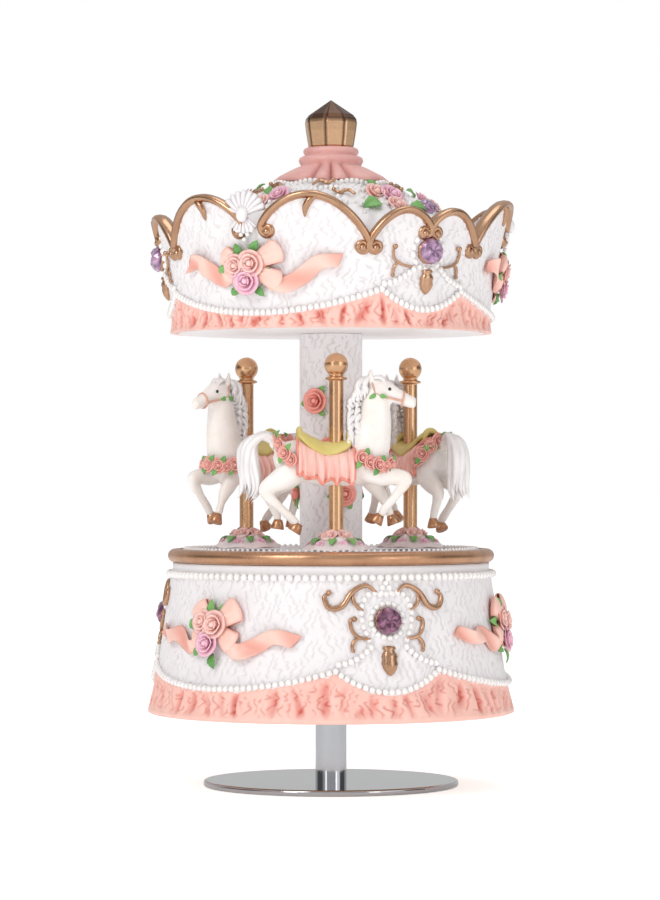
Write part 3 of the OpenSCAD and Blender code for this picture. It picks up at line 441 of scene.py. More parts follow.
def build_drum_frill():
    """The gathered frill: from the pearl border it swells to the foot, turns under and closes behind."""
    cols, rows = FRILL_COLUMNS, 54
    turns = np.arange(cols) * 360 / cols
    carve = gathered(sizes().drum_folds, 5, (DRUM_Z + 0.8, drum_border(turns)[:, None] - 0.2), 1.35, DRUM_R, 2.3)
    outer, depth = wall_ring(turns, rows, drum_skin, np.full(cols, DRUM_Z + 1.4), drum_border(turns) + 0.1, carve)
    a = np.radians(turns)[:, None]
    hem = [(41.4, None), (41.4, DRUM_Z + 0.5), (RUFFLE_R - 1.4, DRUM_Z + 0.25), (RUFFLE_R - 0.55, DRUM_Z + 0.6)]
    z_top = (drum_border(turns) - 1.2)[:, None]
    rings = np.stack([np.concatenate([r * np.sin(a), -r * np.cos(a), z_top if z is None else np.full_like(a, z)],
                                     axis=1)
                      for r, z in hem], axis=1)
    points = np.concatenate([outer, rings], axis=1)
    hollow = np.concatenate([depth, np.zeros((cols, len(hem)))], axis=1)
    frill = surface(points, wrap_u=True, wrap_v=True, hollow=hollow)
    add_piece("drum_frill", {"coral_resin": frill}, "carousel", ("drum_ruffle",))


def build_crown_wall():
    """The crown's white wall: crackled outside up to the arched edge, plain inside."""
    cols, rows = WALL_COLUMNS, 84
    turns = np.arange(cols) * 360 / cols
    top = FLOOR_Z + edge_height(from_gem(turns))
    outer, depth = wall_ring(turns, rows, canopy_skin, canopy_border(turns) - 0.8, top,
                             crackled(sizes().crackle_pitch / MM, 8, CRACKLE_CUT, CANOPY_R))
    wall = close_wall(outer, depth, 2.2, turns)
    add_piece("crown_wall", {"white_resin": wall}, "carousel", ("canopy_crown",))


def build_crown_frill():
    """The gathered frill around the canopy's foot, below the pearl border."""
    cols, rows = FRILL_COLUMNS, 44
    turns = np.arange(cols) * 360 / cols
    carve = gathered(sizes().canopy_folds, 15, (FLOOR_Z, canopy_border(turns)[:, None] - 0.2), 1.1, CANOPY_R, 2.0)
    outer, depth = wall_ring(turns, rows, canopy_skin, np.full(cols, FLOOR_Z + 0.15), canopy_border(turns) + 0.1,
                             carve)
    frill = close_wall(outer, depth, 2.0, turns)
    add_piece("crown_frill", {"coral_resin": frill}, "carousel", ("canopy_ruffle",))


# ---------------------------------------------------------------- pearls, gems and gold


def on_wall(turns, z, skin, out):
    """Points on a wall at given turns and heights, out from its face."""
    a = np.radians(turns)
    r = skin(z) + out
    return np.stack([r * np.sin(a), -r * np.cos(a), z], axis=1)


def border_pearls(border, gem_at, half, skin, r, pitch):
    """Pearls strung along both hanging borders of one third, equal distances apart."""
    small = gem_at + np.linspace(-half, half, 60)
    big = gem_at + np.linspace(half, 120 - half, 160)
    rows = [evenly(on_wall(t, border(t), skin, r * 0.55), pitch) for t in (small, big)]
    return np.concatenate([rows[0], rows[1][1:-1]])


def side_string(gem_at, start, end, z0, z1, sag, skin, r, pitch):
    """Pearls from the side of a gem out to a peak of the border, both ways."""
    u = np.linspace(0, 1, 30)
    out = []
    for s in (-1, 1):
        turns = gem_at + s * (start + (end - start) * u)
        out.append(evenly(on_wall(turns, z0 + (z1 - z0) * u - sag * hang(u), skin, r * 0.55), pitch))
    return np.concatenate(out)


def polar(radius, degrees, height):
    """Point at a radius and an angle about the upright axis."""
    return radius * math.cos(math.radians(degrees)), radius * math.sin(math.radians(degrees)), height


def ring_of(count, radius, phase=0.0):
    """Points evenly around a flat ring, in the flat ornament's own plane."""
    a = (np.arange(count) + phase) * TURN / count
    return np.stack([radius * np.cos(a), radius * np.sin(a), np.zeros(count)], axis=1)


def build_pearls():
    """The drum's bead ring and swags, and the canopy's swags, as strings of small pearls."""
    r, pitch = sizes().pearl / MM / 2, sizes().pearl / MM * 1.02
    turns = np.linspace(0, 360, 400)
    bead = evenly(on_wall(turns, np.full(400, BEAD_Z), drum_skin, r * 0.5), pitch)[:-1]
    add_piece("drum_beads", {"pearl": balls(bead, r)}, "carousel", ("drum_bead_ring",))
    sr = r * 0.86
    parts = [border_pearls(drum_border, DRUM_GEM_AT, DRUM_PEAK, drum_skin, sr, 1.95 * sr),
             side_string(DRUM_GEM_AT, 6, 16.6, DRUM_GEM_Z - 6.4, RUFFLE_TOP + 2.2, 0.9, drum_skin, sr, 1.95 * sr)]
    flat = [ring_of(17, 4.15)]
    for s in (-1, 1):
        flat.append(evenly(spline([(s * 1.2, 6.6, 0), (s * 4.2, 6.6, 0), (s * 6.3, 3.6, 0), (s * 6.3, -0.8, 0),
                                   (s * 4.9, -4.6, 0)], 40), 1.75))
    flat.append(np.array([(x, y, 0) for x, y in ((0, 6.4), (-0.9, 8), (0.9, 8), (0, 9.2), (-1.6, 6.4), (1.6, 6.4))],
                         float))
    cluster = np.concatenate(flat)
    part = bent((cluster, np.zeros((0, 4), int), None), DRUM_GEM_AT, DRUM_GEM_Z, drum_skin)[0]
    swags = thrice(balls(np.concatenate(parts + [part]), sr))
    add_piece("drum_pearls", {"pearl": swags}, "carousel", ("drum_pearl_swags",))
    cr = r * 0.8
    parts = [border_pearls(canopy_border, CANOPY_GEM_AT, CANOPY_PEAK, canopy_skin, cr, 1.9 * cr),
             side_string(CANOPY_GEM_AT, 5.5, 15.8, CANOPY_GEM_Z - 4.4, FLOOR_Z + 10.8, 0.7, canopy_skin, cr,
                         1.9 * cr)]
    ring = bent((ring_of(15, 4.4), None, None), CANOPY_GEM_AT, CANOPY_GEM_Z, canopy_skin)[0]
    add_piece("canopy_pearl_strings", {"pearl": thrice(balls(np.concatenate(parts + [ring]), cr, stretch=1.15))},
              "carousel", ("canopy_pearls",))


def stone(d, height):
    """Cut stone: rings of a 12-sided brilliant, each turned half a side from the last, over a flat table."""
    r = d / 2
    rings = [(0.0, -0.3, 0), (0.9, -0.3, 0), (1.0, 0.12, 0), (0.82, 0.7, 0.5), (0.5, 1.0, 0), (0.22, 0.82, 0.5),
             (0.0, 0.72, 0)]
    a = np.arange(12)[None] * TURN / 12 + np.array([k[2] for k in rings])[:, None] * TURN / 12
    rr = np.array([k[0] for k in rings])[:, None] * r
    hh = np.array([k[1] for k in rings])[:, None] * height * (1 + 0.1 * np.cos(3 * a + 1))
    # The facets are painted dark and light in a fixed pattern: painted reflection
    dark = 0.5 + 0.5 * np.sin(2.4 * np.arange(12)[None] + 1.9 * np.arange(len(rings))[:, None] ** 1.5)
    return surface(np.stack([rr * np.cos(a), rr * np.sin(a), hh], axis=-1)[::-1], wrap_v=True,
                   hollow=dark[::-1] ** 0.7)


def lathe(profile, sides):
    """Points of a turned shape about the z axis: one ring of sides for each (radius, height)."""
    p, a = np.asarray(profile, float), np.arange(sides) * TURN / sides
    return np.stack([p[:, None, 0] * np.cos(a), p[:, None, 0] * np.sin(a), p[:, None, 1] * np.ones(sides)], axis=-1)


def setting(d, out):
    """Gold cup under a stone: a turned ring whose lip folds over the stone's girdle."""
    r = d / 2
    rim = np.array([(0.0, -1.2), (r + 0.05, -1.2), (r + 0.1, out - 0.9), (r, out - 0.6), (r - 0.25, out - 0.5),
                    (r - 0.6, out - 0.5), (0, out - 0.7)])
    return surface(lathe(rim, 36)[::-1], wrap_v=True)


def build_gems():
    """The stones of the drum and of the canopy, in their gold cups."""
    for name, at, z, skin, d, mat, cup, nodes in (
            ("drum", DRUM_GEM_AT, DRUM_GEM_Z, drum_skin, 6.9, "amethyst_glass", "drum_gem_cups",
             ("drum_gem_bezels",)),
            ("canopy", CANOPY_GEM_AT, CANOPY_GEM_Z, canopy_skin, 6.6, "lilac_glass", "canopy_gem_cups", ())):
        r = float(skin(np.array(z)))
        gem = facing(stone(d, 2.0), at, r + 1.1, z)
        add_piece(name + "_stones", {mat: thrice(gem)}, "carousel", (name + "_gems",),
                  shading="flat")
        add_piece(cup, {"gold_paint": thrice(facing(setting(d - 0.5, 0.9), at, r + 0.3, z))}, "carousel",
                  nodes)


def curl(points, r0, r1, count=40, out=0.5, end_ball=0.0):
    """Gold wire along a flat curve, thickest in its middle, with a ball on its far end."""
    path = spline([(x, y, out) for x, y in points], count)
    u = np.linspace(0, 1, count)
    radius = r1 + (r0 - r1) * np.sin(np.pi * u) ** 0.8
    parts = [tube(path, radius, 8)]
    if end_ball:
        parts.append(ball(path[-1], end_ball, 10, 6))
    return join(parts)


def mirrored(points):
    """The same flat points on the other side of the ornament's middle."""
    return [(-x, y) for x, y in points]


def pendant(length, width, out):
    """Acorn drop: a ridged cup over a pointed nut, both turned shapes pressed half into the wall."""
    cup = np.array([(0.0, 0.0), (0.34, 0.02), (0.42, 0.1), (0.3, 0.17), (0.44, 0.26), (0.5, 0.36), (0.44, 0.46),
                    (0.5, 0.6), (0.4, 0.78), (0.2, 0.93), (0.0, 1.0)])
    a = np.arange(20) * TURN / 20
    ridge = 1 + 0.06 * np.cos(8 * a)
    x = cup[:, None, 0] * width * np.cos(a) * ridge
    h = cup[:, None, 0] * width * 0.7 * np.sin(a) * ridge + out
    y = -cup[:, None, 1] * length * np.ones(20)
    return surface(np.stack([x, y, h], axis=-1), wrap_v=True)


def build_scrolls():
    """Gold wirework beside the stones, and the acorn drops under them."""
    upper = [(2.6, 7.0), (5.2, 8.6), (8.6, 7.0), (11.2, 3.6), (14.2, 3.2), (15.4, 5.6), (14.2, 6.9)]
    sprig = [(8.3, 6.6), (8.4, 5.0), (7.4, 3.4), (6.0, 2.6)]
    stem = [(4.6, -4.3), (6.4, -4.2), (8.0, -3.6), (9.2, -1.8), (9.3, 0.2), (8.3, 0.5)]
    fork = [(7.2, -4.0), (8.6, -4.8), (9.2, -6.2), (9.0, -7.2)]
    parts = []
    for side in (lambda p: p, mirrored):
        parts += [curl(side(upper), 0.75, 0.3, 60, end_ball=0.75), curl(side(sprig), 0.5, 0.15, 20),
                  curl(side(stem), 0.5, 0.3, 40, end_ball=0.7), curl(side(fork), 0.5, 0.25, 20, end_ball=0.5)]
    parts.append(shifted(pendant(7.4, 4.0, 0.4), (0, -6.0, 0)))
    gold = bent(join(parts), DRUM_GEM_AT, DRUM_GEM_Z, drum_skin)
    add_piece("drum_wirework", {"gold_paint": thrice(gold)}, "carousel", ("drum_scrolls",))
    stem = [(3.6, -3.9), (6.6, -3.6), (9.2, -2.4), (9.9, -0.4), (9.6, 0.9)]
    fork = [(8.6, -3.0), (9.4, -4.4), (9.5, -6.0)]
    parts = []
    for side in (lambda p: p, mirrored):
        parts += [curl(side(stem), 0.36, 0.25, 40, end_ball=0.7), curl(side(fork), 0.4, 0.2, 20, end_ball=0.5)]
    parts.append(shifted(pendant(6.2, 3.6, 0.4), (0, -4.4, 0)))
    gold = bent(join(parts), CANOPY_GEM_AT, CANOPY_GEM_Z, canopy_skin)
    add_piece("canopy_wirework", {"gold_paint": thrice(gold)}, "carousel", ("canopy_scrolls",))


def build_trim():
    """Gold half-round along the crown's edge, arch by arch; each arch ends in curls with a bead in them."""
    parts = []
    for start, end in ((0.0, LOW_ARCH_END), (LOW_ARCH_END, TALL_ARCH_END)):
        for side in (-1, 1):
            t = start + (end - start) * (0.5 - 0.5 * np.cos(np.linspace(0, np.pi, 90)))
            z = FLOOR_Z + edge_height(t)
            x = np.radians(t - (start + end) / 2) * CANOPY_R
            path = np.stack([x, z - FLOOR_Z, np.zeros_like(x)], axis=1)
            curls = []
            for foot, way in ((0, 1), (-1, -1)):
                a = np.linspace(0, 1.25 * TURN, 36)
                rr = 1.45 - 0.95 * np.linspace(0, 1, 36)
                centre = path[foot] + np.array([way * 1.6, -0.6, 0])
                spiral = centre + np.stack([-way * rr * np.cos(a), -rr * np.sin(a), np.zeros_like(a)], axis=1)
                curls.append(spiral)
            full = np.concatenate([curls[0][::-1], path[3:-3], curls[1]])
            u = np.linspace(-1, 1, len(full))
            thick = 1.08 - 0.35 * smooth((np.abs(u) - 0.45) / 0.5)
            bar = tube(full, thick, 10, flat=1.9, up=(0, 0, 1))
            v = bar[0]
            turn = CANOPY_GEM_AT + side * ((start + end) / 2 + np.degrees(v[:, 0] / CANOPY_R))
            zz = FLOOR_Z + v[:, 1]
            rad = canopy_skin(zz) - 0.75 + v[:, 2]
            a = np.radians(turn)
            faces = bar[1] if side > 0 else bar[1][:, ::-1]
            parts.append((np.stack([rad * np.sin(a), -rad * np.cos(a), zz], axis=1), faces, bar[2]))
            beads = np.array([c[-1] for c in curls] + [c[-1] + (0, 0, 1.0) for c in curls])
            turn = CANOPY_GEM_AT + side * ((start + end) / 2 + np.degrees(beads[:, 0] / CANOPY_R))
            parts.append(balls(on_wall(turn, FLOOR_Z + beads[:, 1], canopy_skin, 0.5), 0.98, 10, 6))
    # A thorn hangs from the top of each tall arch, and points at the shell
    thorn, crest = [(0, 0), (1.5, -0.7), (2.6, -2.3), (2.9, -4.8)], 38.5
    for side, points in ((1, thorn), (-1, mirrored(thorn))):
        part = curl(points, 0.95, 0.12, 24, 0.35)
        parts.append(bent(part, CANOPY_GEM_AT + side * crest, FLOOR_Z + float(edge_height(crest)) - 0.5,
                          canopy_skin))
    add_piece("crown_edging", {"gold_paint": thrice(join(parts))}, "carousel", ("crown_trim",))


# ---------------------------------------------------------------- flowers and ribbons


def petal(turn, width, r, height, curl_out, base=0.12):
    """One petal: it rises from the middle, bellies out and turns its rim back; closed, with a thin wall."""
    u = np.linspace(-1, 1, 7)[:, None]
    v = np.linspace(0, 1, 6)[None]
    a = math.radians(turn) + math.radians(width) * u * (0.5 + 0.5 * np.sin(np.pi * (0.15 + 0.6 * v)))
    rad = r * (base + (1 - base) * np.sin(np.pi / 2 * v) ** 0.8 + curl_out * smooth((v - 0.7) / 0.3))
    h = height * (v**1.2 * (1 - 0.16 * u**2) - 0.12 * smooth((v - 0.8) / 0.2))
    p = np.stack([rad * np.cos(a), rad * np.sin(a), h + 0 * a], axis=-1)
    lift = np.stack([-np.cos(a), -np.sin(a), 0.35 + 0 * a], axis=-1)
    return strip(p[::-1], 0.07 * r + 0.08, lift[::-1])


def rose(d, turn=0.0, rows=((3, 0.42, 0.92, 0.02), (5, 0.72, 0.8, 0.12), (6, 1.0, 0.5, 0.22))):
    """Rose in full bloom, facing out: rings of petals, each wider, lower and more turned back, over a tight bud."""
    r = d / 2
    parts = [ball((0, 0, d * 0.16), d * 0.17, 8, 5, 1.5)]
    for i, (count, size, height, back) in enumerate(rows):
        for k in range(count):
            parts.append(petal(turn + 37 * i + 360 * k / count, 150 / count + 12, r * size, d * 0.5 * height, back))
    v, f, _ = join(parts)
    # Painted shade: the petals darken lower down in the flower, towards its heart
    return v, f, 0.7 * np.clip(1 - v[:, 2] / (0.34 * d), 0, 1)


def leaf(length, width, fold=0.3, arch=0.25):
    """Leaf on its side: pointed at both ends, folded along its rib and arched, with a saw edge."""
    s = np.linspace(0, 1, 13)[:, None]
    v = np.linspace(-1, 1, 5)[None]
    half = width / 2 * np.sin(np.pi * s**0.85) ** 0.8 * (1 + 0.1 * np.sin(26 * s) * np.abs(v) ** 2)
    y = half * v
    h = fold * np.abs(y) + arch * length * np.sin(np.pi * s) * 0.5 + 0.12
    top = np.stack([s * length + 0 * v, y, h], axis=-1)
    return strip(top, 0.3)


def leaf_at(x, y, degrees, length, width, h=0.2):
    """A leaf that starts at a point of the ornament and points away at an angle."""
    return moved(leaf(length, width), spin(degrees), (x, y, h))


def ribbon_loop(degrees, length, width, height):
    """Loop of a bow, a round puff: the band leaves the knot, swells, turns over at its rounded end and comes back
    beneath.
    Its mouth, between the two layers, lies in deep shade."""
    s = np.linspace(0, 1, 41)[:, None]
    v = np.linspace(-1, 1, 13)[None]
    swell = np.sin(np.pi * s) ** 0.55
    x = length * (1 - np.abs(2 * s - 1) ** 2.4) * (0.80 + 0.20 * np.sqrt(np.clip(1 - 0.92 * v**2, 0, 1)))
    h = 0.5 + height * smooth(1.15 - 1.3 * s) * (0.4 + 0.6 * swell) * (1 - 0.38 * v**2) + 0.28 * np.cos(3 * np.pi * v) * (1 - swell)
    y = width / 2 * v * (0.26 + 0.74 * swell)
    top = np.stack([x, y + 0 * x, h + 0 * x], axis=-1)
    sheet, faces, _ = strip(top, 0.4, (0.3, 0, 1))
    # Painted shade: the loop darkens low down, towards its mouth and the wall, and near the knot where the loops meet
    inside = np.clip((0.9 + height * 0.5 - sheet[:, 2]) / (height * 0.8), 0, 1)
    knot = np.clip(1 - np.abs(sheet[:, 0]) / (0.45 * length), 0, 1) * 0.7
    return moved((sheet, faces, np.maximum(0.9 * inside, knot)), spin(degrees))


def ribbon_tail(points, width, waves, lift=1.0):
    """Loose end of a ribbon: a band along a curve on the wall, that ripples off it and is cut aslant."""
    path = spline([(x, y, 0) for x, y in points], 60)
    t = np.gradient(path, axis=0)
    t /= np.linalg.norm(t, axis=1)[:, None]
    n = np.stack([-t[:, 1], t[:, 0], 0 * t[:, 0]], axis=1)
    s = np.linspace(0, 1, 60)[:, None]
    v = np.linspace(-1, 1, 9)[None]
    w = width / 2 * (0.5 + 0.5 * smooth(s / 0.35)) * (1 + 0.1 * np.sin(5 * s))
    ripple = np.sin(waves * np.pi * s + 1.1 * v)
    top = path[:, None] + (w * v)[..., None] * n[:, None]
    top = top + (0.9 * v * smooth((s - 0.85) / 0.15))[..., None] * t[:, None]
    top[..., 2] = 0.5 + lift * (0.5 + 0.5 * ripple) + 0.25 * v**2
    sheet, faces, _ = strip(top, 0.35)
    # Painted shade: the tail darkens where it lies low against the wall
    hollow = np.clip(0.85 - sheet[:, 2] / (lift + 0.7), 0, 1)
    return sheet, faces, 0.95 * hollow


def rose_cluster(spots):
    """Roses at (x, y, diameter) on an ornament, each turned a little differently."""
    return join([shifted(rose(d, 50 * i), (x, y, 1.0 + 0.15 * d)) for i, (x, y, d) in enumerate(spots)])


def build_bows():
    """The bows of the drum and the canopy: four loops, two rippling tails, roses and leaves."""
    drum = {
        "ribbon": [ribbon_loop(142, 8.2, 6.2, 2.8), ribbon_loop(36, 8.8, 7.0, 2.8), ribbon_loop(-34, 8.0, 6.0, 2.4),
                   ribbon_loop(-150, 7.4, 5.6, 2.4),
                   ribbon_tail([(-3, -2.4), (-8, -5.2), (-14, -2.2), (-19, -3.0), (-25, -1.2)], 3.6, 3.6, 1.5),
                   ribbon_tail([(3, -2.4), (7.5, -5.8), (12.5, -4.4), (17, -2.2), (22.5, -3.4)], 3.9, 3.4, 1.5)],
        "pale": [(0.9, 0.6, 5.5), (-3.2, 1.2, 4.8)], "cool": [(-1.0, -4.0, 5.2)],
        "leaves": [(-0.6, 2.4, 104, 4.4, 2.4), (1.8, 2.6, 66, 3.8, 2.2), (-5.2, 0.2, 172, 4.2, 2.4),
                   (3.4, -1.6, -30, 3.6, 2.2),
                   (-3.4, -5.6, 205, 3.4, 2.0), (0.2, -6.6, -80, 3.8, 2.2)]}
    canopy = {
        "ribbon": [ribbon_loop(24, 10.0, 6.0, 2.8), ribbon_loop(-28, 9.4, 5.6, 2.4),
                   ribbon_loop(158, 7.6, 5.2, 2.6),
                   ribbon_loop(-158, 7.0, 4.6, 2.2),
                   ribbon_tail([(-3, -1.2), (-7, -3.2), (-11.5, -0.8), (-15.5, 1.6), (-20, 0.6)], 3.6, 3.8, 1.5),
                   ribbon_tail([(3, -2.4), (8, -4.8), (13, -3.0), (18, 0.6), (23, 1.0)], 3.8, 3.2, 1.5)],
        "pale": [(1.3, 0.5, 5.2), (-2.9, 0.0, 4.6)], "cool": [(-0.2, -3.8, 5.2)],
        "leaves": [(-1.2, 2.0, 118, 4.0, 2.2), (1.2, 2.6, 62, 4.0, 2.2), (-5.0, -0.6, 186, 3.8, 2.2),
                   (3.8, -1.2, -14, 3.4, 2.0),
                   (-2.6, -5.2, 215, 3.2, 2.0), (1.6, -4.8, -52, 3.4, 2.0)]}
    for name, at, z, skin, kit in (("drum", DRUM_BOW_AT, DRUM_BOW_Z, drum_skin, drum),
                                   ("canopy", CANOPY_BOW_AT, CANOPY_BOW_Z, canopy_skin, canopy)):
        ribbon = thrice(bent(join(kit["ribbon"]), at, z, skin))
        add_piece(name + "_ribbons", {"ribbon_paint": ribbon}, "carousel", (name + "_bows",))
        flowers = {"pale_petals": thrice(bent(rose_cluster(kit["pale"]), at, z, skin)),
                   "cool_petals": thrice(bent(rose_cluster(kit["cool"]), at, z, skin)),
                   "leaf_paint": thrice(bent(join([leaf_at(*row, h=1.1) for row in kit["leaves"]]), at, z, skin))}
        add_piece(name + "_bouquets", flowers, "carousel", (name + "_roses",))


def build_shells():
    """Scallop shells at the crown's edge: a ribbed fan over an oval boss, and a small fan below it."""
    def fan(radius, span, ribs, bulge, lower):
        phi = np.radians(np.linspace(-span, span, 8 * ribs + 1))[:, None]
        v = np.linspace(0.08, 1, 10)[None]
        rib = np.abs(np.cos(phi / np.radians(2 * span) * ribs * np.pi)) ** 0.7
        r = radius * v * (0.93 + 0.09 * rib * v)
        h = bulge * np.sin(np.pi * (0.15 + 0.72 * v)) + 0.75 * rib * v + 0.1
        s = -1 if lower else 1
        top = np.stack([s * r * np.sin(phi), s * r * np.cos(phi), h + 0 * r], axis=-1)
        # Painted shade: the grooves between the ribs darken, more so towards the rim
        return strip(top[::-1], 1.0, hollow=(np.clip(1 - 1.4 * rib, 0, 1) * v)[::-1])
    fans = [fan(6.1, 76, 9, 1.1, False), shifted(fan(4.6, 50, 6, 0.6, True), (0, 0.3, -0.3))]
    boss = moved(ball((0, 0, 0), 1.5, 12, 8), np.diag([1, 1.3, 0.8]), (0, 0.2, 1.5))
    lift = facing(join(fans + [boss]), CANOPY_BOW_AT - 0.4, float(canopy_skin(np.array(FLOOR_Z + 27.4))) - 0.2,
                  FLOOR_Z + 27.4, 4)
    pearls = [(-0.9, -4.6, 0.7), (0.9, -4.6, 0.7), (0, -5.8, 0.6), (-2.0, -3.6, 0.7), (2.0, -3.6, 0.7)]
    beads = facing(balls(pearls, 0.62), CANOPY_BOW_AT - 0.4, float(canopy_skin(np.array(FLOOR_Z + 24))) + 0.1,
                   FLOOR_Z + 27.4)
    add_piece("scallop_shells", {"white_resin": thrice(lift), "pearl": thrice(beads)}, "carousel",
              ("crown_shells",))


# ---------------------------------------------------------------- roof, column and deck


def turned(profile, cols, wave=None, fill=None):
    """Turned shape of a list of (radius, height); wave(angle, share of the profile) is added to the radius and
    height,
    and the places that it sinks are hollow."""
    p = np.asarray(profile, float)
    if fill:
        p = spline(np.c_[p, np.zeros(len(p))], fill)[:, :2]
    a = (np.arange(cols) * TURN / cols)[:, None]
    s = np.linspace(0, 1, len(p))[None]
    dr, dz = wave(a, s) if wave else (0, 0)
    r, z = np.maximum(p[None, :, 0] + dr, 0) + 0 * a, p[None, :, 1] + dz + 0 * a
    return surface(np.stack([r * np.sin(a), -r * np.cos(a), z], axis=-1), wrap_u=True,
                   # Where the wave sinks, the hollow darkens the finish: painted shade in the dips of the pleats,
                   # lace and lumps
                   hollow=np.clip(-np.minimum(dz, 0) + 0 * r, 0, 1))


def build_roof():
    """The dome with its lace and garland, and the pleated cap with its neck rings."""
    top = CAP_Z
    foot = FLOOR_Z + 17
    dome = [(0.0, foot - 0.5), (36, foot - 0.5), (37.6, foot), (36.5, foot + 3), (33, foot + 9.5),
            (25, foot + 15.6), (18.0, foot + 18.8), (15.6, top - 1.0), (15.3, top - 0.4), (13.5, top - 0.3),
            (0, top - 0.3)]
    def ripple(a, s):
        lace = 0.35 * np.cos(44 * a) * np.cos(60 * s) * smooth((s - 0.3) / 0.1) * smooth((0.95 - s) / 0.03)
        return lace, 0.5 * lace
    add_piece("roof_cone", {"white_resin": turned(dome, 240, ripple, 90)}, "carousel",
              ("roof_dome",))
    folds = sizes().cap_folds

    def pleat(a, s):
        open_out = smooth((0.60 - s) / 0.45) * smooth(s / 0.12)
        wave = np.abs(np.sin(folds / 2 * a + 0.9 * np.sin(3 * a) + 0.5 * np.sin(5 * a))) ** 0.6
        return (wave - 0.8) * 2.0 * open_out, (wave - 0.9) * 1.5 * open_out

    r0 = 14.4
    cap = [(0, top + 0.1), (r0 - 1.5, top + 0.1), (r0 - 0.2, top + 0.1), (r0, top + 0.7), (r0 - 1.4, top + 1.9),
           (r0 - 3.6, top + 3.1), (8.8, top + 4.1), (7.5, top + 4.7),
           (7.9, top + 5.2), (8.25, top + 5.9), (8.0, top + 6.7), (7.2, top + 7.1), (6.5, top + 7.3),
           (6.9, top + 7.7), (7.1, top + 8.3), (6.9, top + 8.9), (6.2, FINIAL_Z), (0, FINIAL_Z)]
    add_piece("pleated_cap", {"cap_resin": turned(cap, 260, pleat)}, "carousel", ("roof_cap",))
    slope = lambda z: np.interp(z, [foot + 9.5, foot + 15.6, foot + 18.8, top], [33, 25, 18.0, 14.5])
    pearls, pale, cool, green, gold, gems = [], [], [], [], [], []
    hem = np.arange(72) * 5.0
    pearls.append(on_wall(hem, top - 0.5 - 0.35 * np.cos(np.radians(hem * 9)), lambda z: 15.3 + 0 * z, 0))
    for drop in (2.6, 6.6):
        z = top - drop + 0.5 * np.cos(np.radians(9 * np.arange(0, 360, 4)))
        pearls.append(on_wall(np.arange(0, 360, 4.0), z, slope, 0.5))
    for t in np.arange(0, 360, 15.0):
        z = np.linspace(top - 2.6, top - 9.5, 7)
        pearls.append(on_wall(t + 5 * np.sin(np.linspace(0, 3, 7)), z, slope, 0.4))
    for dt, drop, d, kind in ((31, 4.0, 4.8, pale), (41, 4.6, 5.4, cool), (37, 7.2, 4.4, pale),
                              (-34, 4.6, 4.6, cool), (-42, 6.4, 4.2, pale)):
        z = top - drop
        kind.append(facing(rose(d, 3 * dt), dt, float(slope(z)) + 0.3, z, 44))
    for dt, drop, way, size in ((27, 6.6, 200, 6.0), (47, 6.8, -20, 4.6), (34, 2.6, 100, 3.6), (-29, 6.2, -40, 4.4),
                                (-44, 3.8, 140, 3.6)):
        z = top - drop
        green.append(facing(leaf_at(0, 0, way, size, size * 0.62), dt, float(slope(z)) + 0.8, z, 44))
    for dt in (64, -60):
        gems.append(facing(stone(4.6, 1.6), dt, float(slope(top - 7.0)) + 0.9, top - 7.0, 40))
    for dt, drop, flip in ((-6, 1.8, 1), (-52, 2.2, -1), (54, 3.6, 1), (8, 4.6, -1)):
        z = top - drop
        gold.append(facing(curl([(-2.8 * flip, 0), (-1.0 * flip, 1.5), (1.0 * flip, 0.5), (2.4 * flip, 1.6)], 0.5,
                                0.28, 20, 0.6, 0.6), dt, float(slope(z)) + 0.4, z, 44))
    add_piece("roof_bouquet", {"pearl": balls(np.concatenate(pearls), 0.72),
                               "pale_petals": thrice(join(pale)), "cool_petals": thrice(join(cool)),
                               "leaf_paint": thrice(join(green)),
                               "gold_paint": thrice(join(gold)),
                               "lilac_glass": thrice(join(gems))}, "carousel", ("roof_garland",))


def build_knob():
    """Faceted knob on the cap: eight flat faces with a dark groove between each two, under a dark pyramid."""
    rings = np.array([(0, 0.06), (5.5, 0.06), (5.85, 0.4), (6.45, 4.2), (6.7, 6.3), (6.5, 7.4), (5.7, 8.4),
                      (0, FINIAL_H)])
    step = TURN / 8
    a = (np.arange(8)[:, None] * step + np.array([-0.5, -0.36, 0.36]) * step).ravel() + 0.17
    groove = np.tile([1.0, 0.0, 0.0], 8)[:, None]
    r = rings[None, :, 0] * (1 - 0.03 * groove)
    points = np.stack([r * np.sin(a)[:, None], -r * np.cos(a)[:, None],
                       FINIAL_Z + rings[None, :, 1] + 0 * a[:, None]], axis=-1)
    # The grooves take the dark brown as painted shade; the pyramid on top is painted dark brown as well
    dark = np.maximum(groove, (rings[None, :, 1] > 7) * 1.0)
    add_piece("faceted_knob", {"knob_gilt": surface(points, wrap_u=True, hollow=dark)}, "carousel",
              ("finial",), shading="flat")


